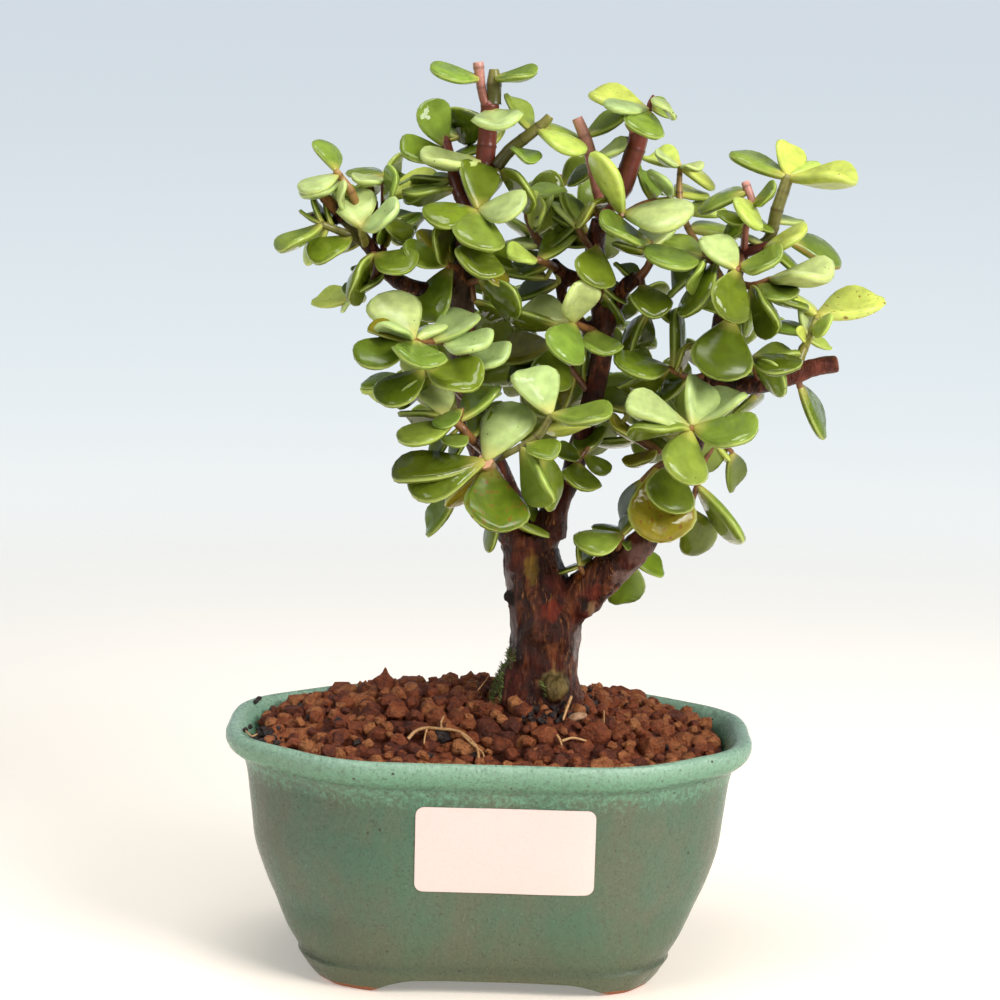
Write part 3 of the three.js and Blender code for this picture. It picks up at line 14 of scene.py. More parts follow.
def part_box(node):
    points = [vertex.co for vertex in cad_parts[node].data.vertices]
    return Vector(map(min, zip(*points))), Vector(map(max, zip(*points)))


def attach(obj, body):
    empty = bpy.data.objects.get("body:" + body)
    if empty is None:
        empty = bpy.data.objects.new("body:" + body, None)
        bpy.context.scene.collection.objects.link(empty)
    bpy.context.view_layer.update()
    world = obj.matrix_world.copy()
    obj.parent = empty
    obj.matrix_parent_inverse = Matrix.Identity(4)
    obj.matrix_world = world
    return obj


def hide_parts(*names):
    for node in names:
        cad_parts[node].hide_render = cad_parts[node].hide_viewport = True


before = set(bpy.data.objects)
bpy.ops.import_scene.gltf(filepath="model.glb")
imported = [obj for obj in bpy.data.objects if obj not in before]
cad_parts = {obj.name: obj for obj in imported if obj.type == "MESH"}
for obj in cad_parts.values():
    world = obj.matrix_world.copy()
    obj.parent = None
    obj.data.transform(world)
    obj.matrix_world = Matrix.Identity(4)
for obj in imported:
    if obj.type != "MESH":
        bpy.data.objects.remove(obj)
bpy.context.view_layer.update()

logging.basicConfig(level=logging.INFO, format="%(relativeCreated)7.0f ms  %(message)s")
LOG = logging.getLogger("bonsai")

MM = 0.001
BODY = "root"
UP = Vector((0.0, 0.0, 1.0))
Piece, Socket, Material = bpy.types.Object, bpy.types.NodeSocket, bpy.types.Material
ORIGIN = (0.0, 0.0, 0.0)

# The kinds of shader node in use
NOISE = "ShaderNodeTexNoise"
CELLS = "ShaderNodeTexVoronoi"
REMAP = "ShaderNodeMapRange"
MATHS = "ShaderNodeMath"
MIX = "ShaderNodeMix"
RAMP = "ShaderNodeValToRGB"
BUMP = "ShaderNodeBump"
STORED = "ShaderNodeAttribute"
PLACES = "ShaderNodeTexCoord"
STRETCH = "ShaderNodeMapping"
SPLIT = "ShaderNodeSeparateXYZ"
SURFACE = "ShaderNodeBsdfPrincipled"


# ---- small helpers


def linear(hex_colour: str) -> tuple[float, float, float, float]:
    """Turns an sRGB hex colour into linear light.

    Args:
        hex_colour: A colour such as "#6f8f35".

    Returns:
        Red, green, blue and an alpha of one.
    """
    channels = []
    for start in (1, 3, 5):
        value = int(hex_colour[start:start + 2], 16) / 255
        channels.append(value / 12.92 if value <= 0.04045 else ((value + 0.055) / 1.055) ** 2.4)
    return channels[0], channels[1], channels[2], 1.0


def add_node(
    tree: bpy.types.NodeTree, kind: str, inputs: dict | Sequence = (), out: int | str = 0, **settings: object
) -> Socket | None:
    """Adds a shader node with its settings, values and links.

    Args:
        tree: The node tree.
        kind: The node's type name.
        inputs: A value, a hex colour or a socket to link for each input, by name or number or in order.
        out: The output wanted.
        **settings: Properties of the node.

    Returns:
        The output, or nothing for a node that has none.
    """
    node = tree.nodes.new(kind)
    for name, value in settings.items():
        setattr(node, name, value)
    for key, value in inputs.items() if isinstance(inputs, dict) else enumerate(inputs):
        if isinstance(value, Socket):
            tree.links.new(value, node.inputs[key])
        else:
            node.inputs[key].default_value = linear(value) if isinstance(value, str) else value
    return node.outputs[out] if node.outputs else None


def new_material(name: str) -> tuple[Material, Callable[..., Socket]]:
    """Makes an empty node material, with the function that adds nodes to it."""
    material = bpy.data.materials.new(name)
    material.use_nodes = True
    material.node_tree.nodes.clear()
    return material, partial(add_node, material.node_tree)


def set_stops(colours: Socket, stops: Sequence[tuple[float, str]]) -> None:
    """Gives a colour ramp its stops, each a position and a hex colour, in rising order."""
    elements = colours.node.color_ramp.elements
    for _ in stops[2:]:
        elements.new(1.0)
    for element, (position, colour) in zip(elements, stops):
        element.position = position
        element.color = linear(colour)


def per_metre(size_mm: float) -> float:
    """Gives the scale of a pattern whose features are that many millimetres wide."""
    return 1.0 / (size_mm * MM)


def deselect() -> None:
    """Leaves edit mode and deselects every object."""
    if bpy.context.object and bpy.context.object.mode != "OBJECT":
        bpy.ops.object.mode_set(mode="OBJECT")
    bpy.ops.object.select_all(action="DESELECT")


def make_active(piece: Piece) -> None:
    """Selects one object alone and makes it the active one."""
    deselect()
    piece.select_set(True)
    bpy.context.view_layer.objects.active = piece


def edit_all(piece: Piece) -> None:
    """Goes to edit mode with the whole mesh selected."""
    make_active(piece)
    bpy.ops.object.mode_set(mode="EDIT")
    bpy.ops.mesh.select_mode(type="VERT")
    bpy.ops.mesh.select_all(action="SELECT")


def select_where(piece: Piece, test: Callable[[Vector], bool]) -> None:
    """Goes to edit mode with only the points selected that pass a test of their place.

    Args:
        piece: The mesh object.
        test: Says whether a point is selected.
    """
    edit_all(piece)
    bpy.ops.mesh.select_all(action="DESELECT")
    bpy.ops.object.mode_set(mode="OBJECT")
    for vertex in piece.data.vertices:
        vertex.select = test(vertex.co)
    bpy.ops.object.mode_set(mode="EDIT")


def resize(*shares: float, centre: Sequence[float] = ORIGIN) -> None:
    """Resizes the selected points about a centre, by shares along X, Y and Z."""
    bpy.ops.transform.resize(value=shares, center_override=centre)


def shift(*apart: float) -> None:
    """Moves the selected points."""
    bpy.ops.transform.translate(value=apart)


def rotate(angle: float, axis: str) -> None:
    """Turns the selected points about an axis through the origin."""
    bpy.ops.transform.rotate(value=angle, orient_axis=axis, center_override=ORIGIN)


def new_primitive(operator: Callable[..., object], name: str, **settings: object) -> Piece:
    """Adds a primitive with nothing else selected.

    Args:
        operator: The operator that adds it.
        name: The new object's name.
        **settings: The operator's settings.

    Returns:
        The new object.
    """
    deselect()
    operator(**settings)
    piece = bpy.context.object
    piece.name = name
    return piece


def apply_modifier(piece: Piece, kind: str, **settings: object) -> None:
    """Adds a modifier to a mesh and applies it.

    Args:
        piece: The mesh object.
        kind: The modifier's type.
        **settings: The modifier's properties.
    """
    make_active(piece)
    modifier = piece.modifiers.new(kind.lower(), kind)
    for name, value in settings.items():
        setattr(modifier, name, value)
    bpy.ops.object.modifier_apply(modifier=modifier.name)


def smooth(piece: Piece, angle_deg: float = 180.0) -> None:
    """Shades a mesh smooth, but not over edges sharper than an angle."""
    make_active(piece)
    bpy.ops.object.shade_smooth_by_angle(angle=math.radians(angle_deg))


def point_values(piece: Piece, name: str, values: float | Sequence[float]) -> None:
    """Stores one number for each point of a mesh.

    Args:
        piece: The mesh object.
        name: The attribute's name.
        values: One value for each point, or one for all.
    """
    if isinstance(values, float):
        values = [values] * len(piece.data.vertices)
    piece.data.attributes.new(name, "FLOAT", "POINT").data.foreach_set("value", values)


def point_colours(piece: Piece, name: str, colours: Sequence[Sequence[float]]) -> None:
    """Stores one colour for each point of a mesh.

    Args:
        piece: The mesh object.
        name: The attribute's name.
        colours: One linear colour for each point, or a single one for all.
    """
    if len(colours) == 1:
        colours = list(colours) * len(piece.data.vertices)
    layer = piece.data.attributes.new(name, "FLOAT_COLOR", "POINT")
    layer.data.foreach_set("color", [channel for colour in colours for channel in colour])


def join(pieces: Sequence[Piece], name: str) -> Piece:
    """Joins meshes into one object of that name."""
    deselect()
    for piece in pieces:
        piece.select_set(True)
    bpy.context.view_layer.objects.active = pieces[0]
    if len(pieces) > 1:
        bpy.ops.object.join()
    pieces[0].name = name
    pieces[0].data.name = name
    return pieces[0]


def placed_copy(model: Piece, matrix: Matrix) -> Piece:
    """Copies a modelled shape, with a mesh of its own and its place in that mesh.

    Args:
        model: The shape, at the origin.
        matrix: Its place, turn and size.

    Returns:
        The copy.
    """
    mesh = model.data.copy()
    mesh.transform(matrix)
    copy = bpy.data.objects.new(model.name, mesh)
    bpy.context.scene.collection.objects.link(copy)
    return copy


def put_away(models: Iterable[Piece]) -> None:
    """Removes the shapes that copies were made from."""
    for model in models:
        bpy.data.objects.remove(model, do_unlink=True)


def dress(piece: Piece, material: Material, slot: str, *nodes: str) -> Piece:
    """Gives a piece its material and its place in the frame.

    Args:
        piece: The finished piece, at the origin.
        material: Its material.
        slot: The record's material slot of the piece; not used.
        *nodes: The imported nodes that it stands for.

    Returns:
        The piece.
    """
    piece.data.materials.clear()
    piece.data.materials.append(material)
    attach(piece, BODY)
    if nodes:
        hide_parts(*nodes)
    LOG.info("%s: %d faces", piece.name, len(piece.data.polygons))
    return piece


# ---- the view


@dataclass(frozen=True)
class View:
    """The camera that the plant's places are read through, square to the pot's long side.

    A column and a row count from the top left corner of a frame of 1000 by 1000, and an apparent width
    is in columns. toward is how many millimetres a place stands in front of the pot's middle plane.
    """

    pot_middle: Vector
    focal: float = 2800.0
    frame_width: float = 1000.0
    distance_mm: float = 796.3
    height_mm: float = 267.4
    side_mm: float = 1.4
    pitch: float = math.radians(9.27)
    roll: float = math.radians(1.54)

    def _aim(self, column: float, row: float) -> tuple[float, float]:
        """Gives how far right of and below the camera's axis a place shows, with the roll taken out."""
        u = (column - self.frame_width / 2) / self.focal
        v = (row - self.frame_width / 2) / self.focal
        across = math.cos(self.roll) * u + math.sin(self.roll) * v
        down = -math.sin(self.roll) * u + math.cos(self.roll) * v
        return across, down

    def reach(self, column: float, row: float, toward: float) -> float:
        """Gives a place's distance along the camera's axis, in millimetres."""
        down = self._aim(column, row)[1]
        return (self.distance_mm - toward) / (math.cos(self.pitch) - down * math.sin(self.pitch))

    def place(self, column: float, row: float, toward: float) -> Vector:
        """Turns a column, a row and toward into a place in the frame, in metres."""
        across, down = self._aim(column, row)
        reach = self.reach(column, row, toward)
        height = self.height_mm - (math.sin(self.pitch) + down * math.cos(self.pitch)) * reach
        return self.pot_middle + Vector((across * reach + self.side_mm, -toward, height)) * MM

    def width(self, apparent: float, column: float, row: float, toward: float) -> float:
        """Turns an apparent width into metres."""
        return apparent * self.reach(column, row, toward) / self.focal * MM

    @property
    def eye(self) -> Vector:
        """The camera's place in the frame."""
        return self.pot_middle + Vector((self.side_mm, -self.distance_mm, self.height_mm)) * MM

    def add_camera(self) -> None:
        """Makes the scene's camera."""
        sensor_mm = 36.0
        data = bpy.data.cameras.new("camera")
        data.sensor_width = sensor_mm
        data.lens = self.focal / self.frame_width * sensor_mm
        data.clip_end = 100.0
        camera = bpy.data.objects.new("camera", data)
        bpy.context.scene.collection.objects.link(camera)
        level = Matrix.Rotation(math.pi / 2 - self.pitch, 4, "X")
        camera.matrix_world = Matrix.Translation(self.eye) @ level @ Matrix.Rotation(self.roll, 4, "Z")
        bpy.context.scene.camera = camera


def pot_middle() -> Vector:
    """Gives the pot's middle at the height of its feet, from the frame."""
    low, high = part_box("pot")
    return Vector(((low[0] + high[0]) / 2, (low[1] + high[1]) / 2, low[2]))


VIEW = View(pot_middle())


# ---- the plant's places


class Tone(Enum):
    """The tone of a leaf: its letter in the rows below, its colour with any painted light, and the share of its leaves
    that are wet.
    """

    # Pale: a painted sheen, light reflected off the wax, put into the leaf's colour
    PALE = ("p", "#b2c27a", 0.25)
    BRIGHT = ("b", "#7b8f35", 0.5)
    # Lime: partly the leaf's own yellow-green, partly a painted glow of light shining through it
    LIME = ("l", "#bac85a", 0.1)
    MIDDLE = ("m", "#67771e", 0.7)
    DARK = ("d", "#566414", 0.7)
    OLIVE = ("o", "#7a731c", 0.6)

    def __init__(self, letter: str, colour: str, wet: float) -> None:
        """Names the parts of its value."""
        self.letter, self.colour, self.wet = letter, colour, wet

    @classmethod
    def named(cls, letter: str) -> "Tone":
        """Gives the tone that a row's letter stands for."""
        return next(tone for tone in cls if tone.letter == letter)


class Rind(Enum):
    """The skin of a young stem, as its colour where it forks off and near its tip."""

    BROWN = ("#3f2216", "#5a3526")
    MAROON = ("#47201a", "#7a3a2c")
    RUST = ("#5b3020", "#8a6034")
    SALMON = ("#8a4a3a", "#cf9384")
    GREEN = ("#7a7430", "#a09a44")
    OLIVE = ("#4c4a22", "#7f7a3c")
    TAN = ("#8a6438", "#b08a50")


# A stem's middle line goes through points of column, row, toward and apparent width
StemPoint = tuple[float, float, float, float]
Stem = tuple[StemPoint, ...]


def read_stem(course: str) -> Stem:
    """Reads the points of a stem's middle line, which have commas between them."""
    return tuple(tuple(float(word) for word in point.split()) for point in course.split(","))


@dataclass(frozen=True)
class Leaf:
    """A leaf as it shows in the view.

    Its base and tip are columns and rows. shows is the apparent width in columns, below zero where
    the tip leans away from the viewer. width_mm is the real width, below zero where the blade is
    turned the other way about its own length. marks has the letter of its tone, and then s where it
    has dry spots or r where its rim is red.
    """

    base_column: float
    base_row: float
    tip_column: float
    tip_row: float
    shows: float
    width_mm: float
    marks: str


@dataclass(frozen=True)
class Twig:
    """A young stem: its middle line, its skin, and whether it was sawn off."""

    line: Stem
    rind: Rind
    sawn: bool


@dataclass(frozen=True)
class Shoot:
    """A leafy shoot: its leaves one by one, or on the far side a number of pairs of a width on each stem."""

    name: str
    twigs: list[Twig]
    leaves: list[Leaf]
    pairs: int
    width_mm: float


def read_chart(chart: str) -> list[Shoot]:
    """Reads the shoots from their chart.

    Args:
        chart: The lines of the chart.

    Returns:
        The shoots.
    """
    shoots: list[Shoot] = []
    for line in chart.strip().splitlines():
        kind, _, course = line.partition(":")
        *words, last = kind.split()
        if course:
            shoots[-1].twigs.append(Twig(read_stem(course), Rind[last.upper()], bool(words)))
        elif kind[0].isdigit():
            shoots[-1].leaves.append(Leaf(*(float(word) for word in words), last))
        else:
            name, pairs, width = (*kind.split(), 0, 0)[:3]
            shoots.append(Shoot(name, [], [], int(pairs), float(width)))
    return shoots


# The middle lines of the bare limbs
LIMB_CHART = """
540 770 0 34, 539 735 0 76, 538 700 0 94, 539 684 0 84, 542 664 0 70, 545 640 0 67, 546 620 0 70, 542 600 0 69,
536 580 0 62, 532 560 0 58, 530 530 0 58;
560 612 2 40, 585 592 4 40, 612 567 8 36, 634 550 12 30, 648 535 14 26, 662 505 14 24, 680 478 12 22, 694 445 10 20,
703 415 8 20, 712 385 6 20, 718 350 4 20, 722 320 2 20, 730 290 0 18, 738 265 -2 16, 744 248 -4 14;
708 388 6 20, 730 384 8 20, 760 384 10 20, 790 376 10 20, 815 367 10 19, 838 364 10 18;
522 540 0 46, 508 510 2 40, 494 475 4 34, 480 440 4 30, 470 400 4 28, 464 350 4 28, 461 300 4 27, 464 262 4 26,
468 235 3 23, 471 226 3 22;
460 290 5 18, 430 290 8 16, 405 285 8 16, 388 272 6 16, 376 255 4 16, 362 238 4 15, 348 222 4 13, 335 208 6 13,
321 193 6 12;
374 205 0 9, 372 196 0 9, 368 183 0 8;
374 250 2 8, 376 228 0 9, 374 205 0 9;
342 217 5 9, 330 222 2 9, 318 220 2 9, 310 217 4 10;
548 535 0 40, 556 505 0 28, 568 485 -2 22, 580 445 -4 21, 592 400 -4 22, 601 360 -4 22, 603 330 -4 22,
599 285 -3 21, 595 245 -2 20, 601 220 0 20;
598 295 -3 16, 580 282 -3 16, 562 273 -2 15, 552 260 -1 11;
598 340 -4 14, 580 322 -3 12, 565 305 -2 12, 560 283 -2 11;
603 335 -3 18, 616 305 0 17, 624 288 4 16, 638 277 6 15
"""

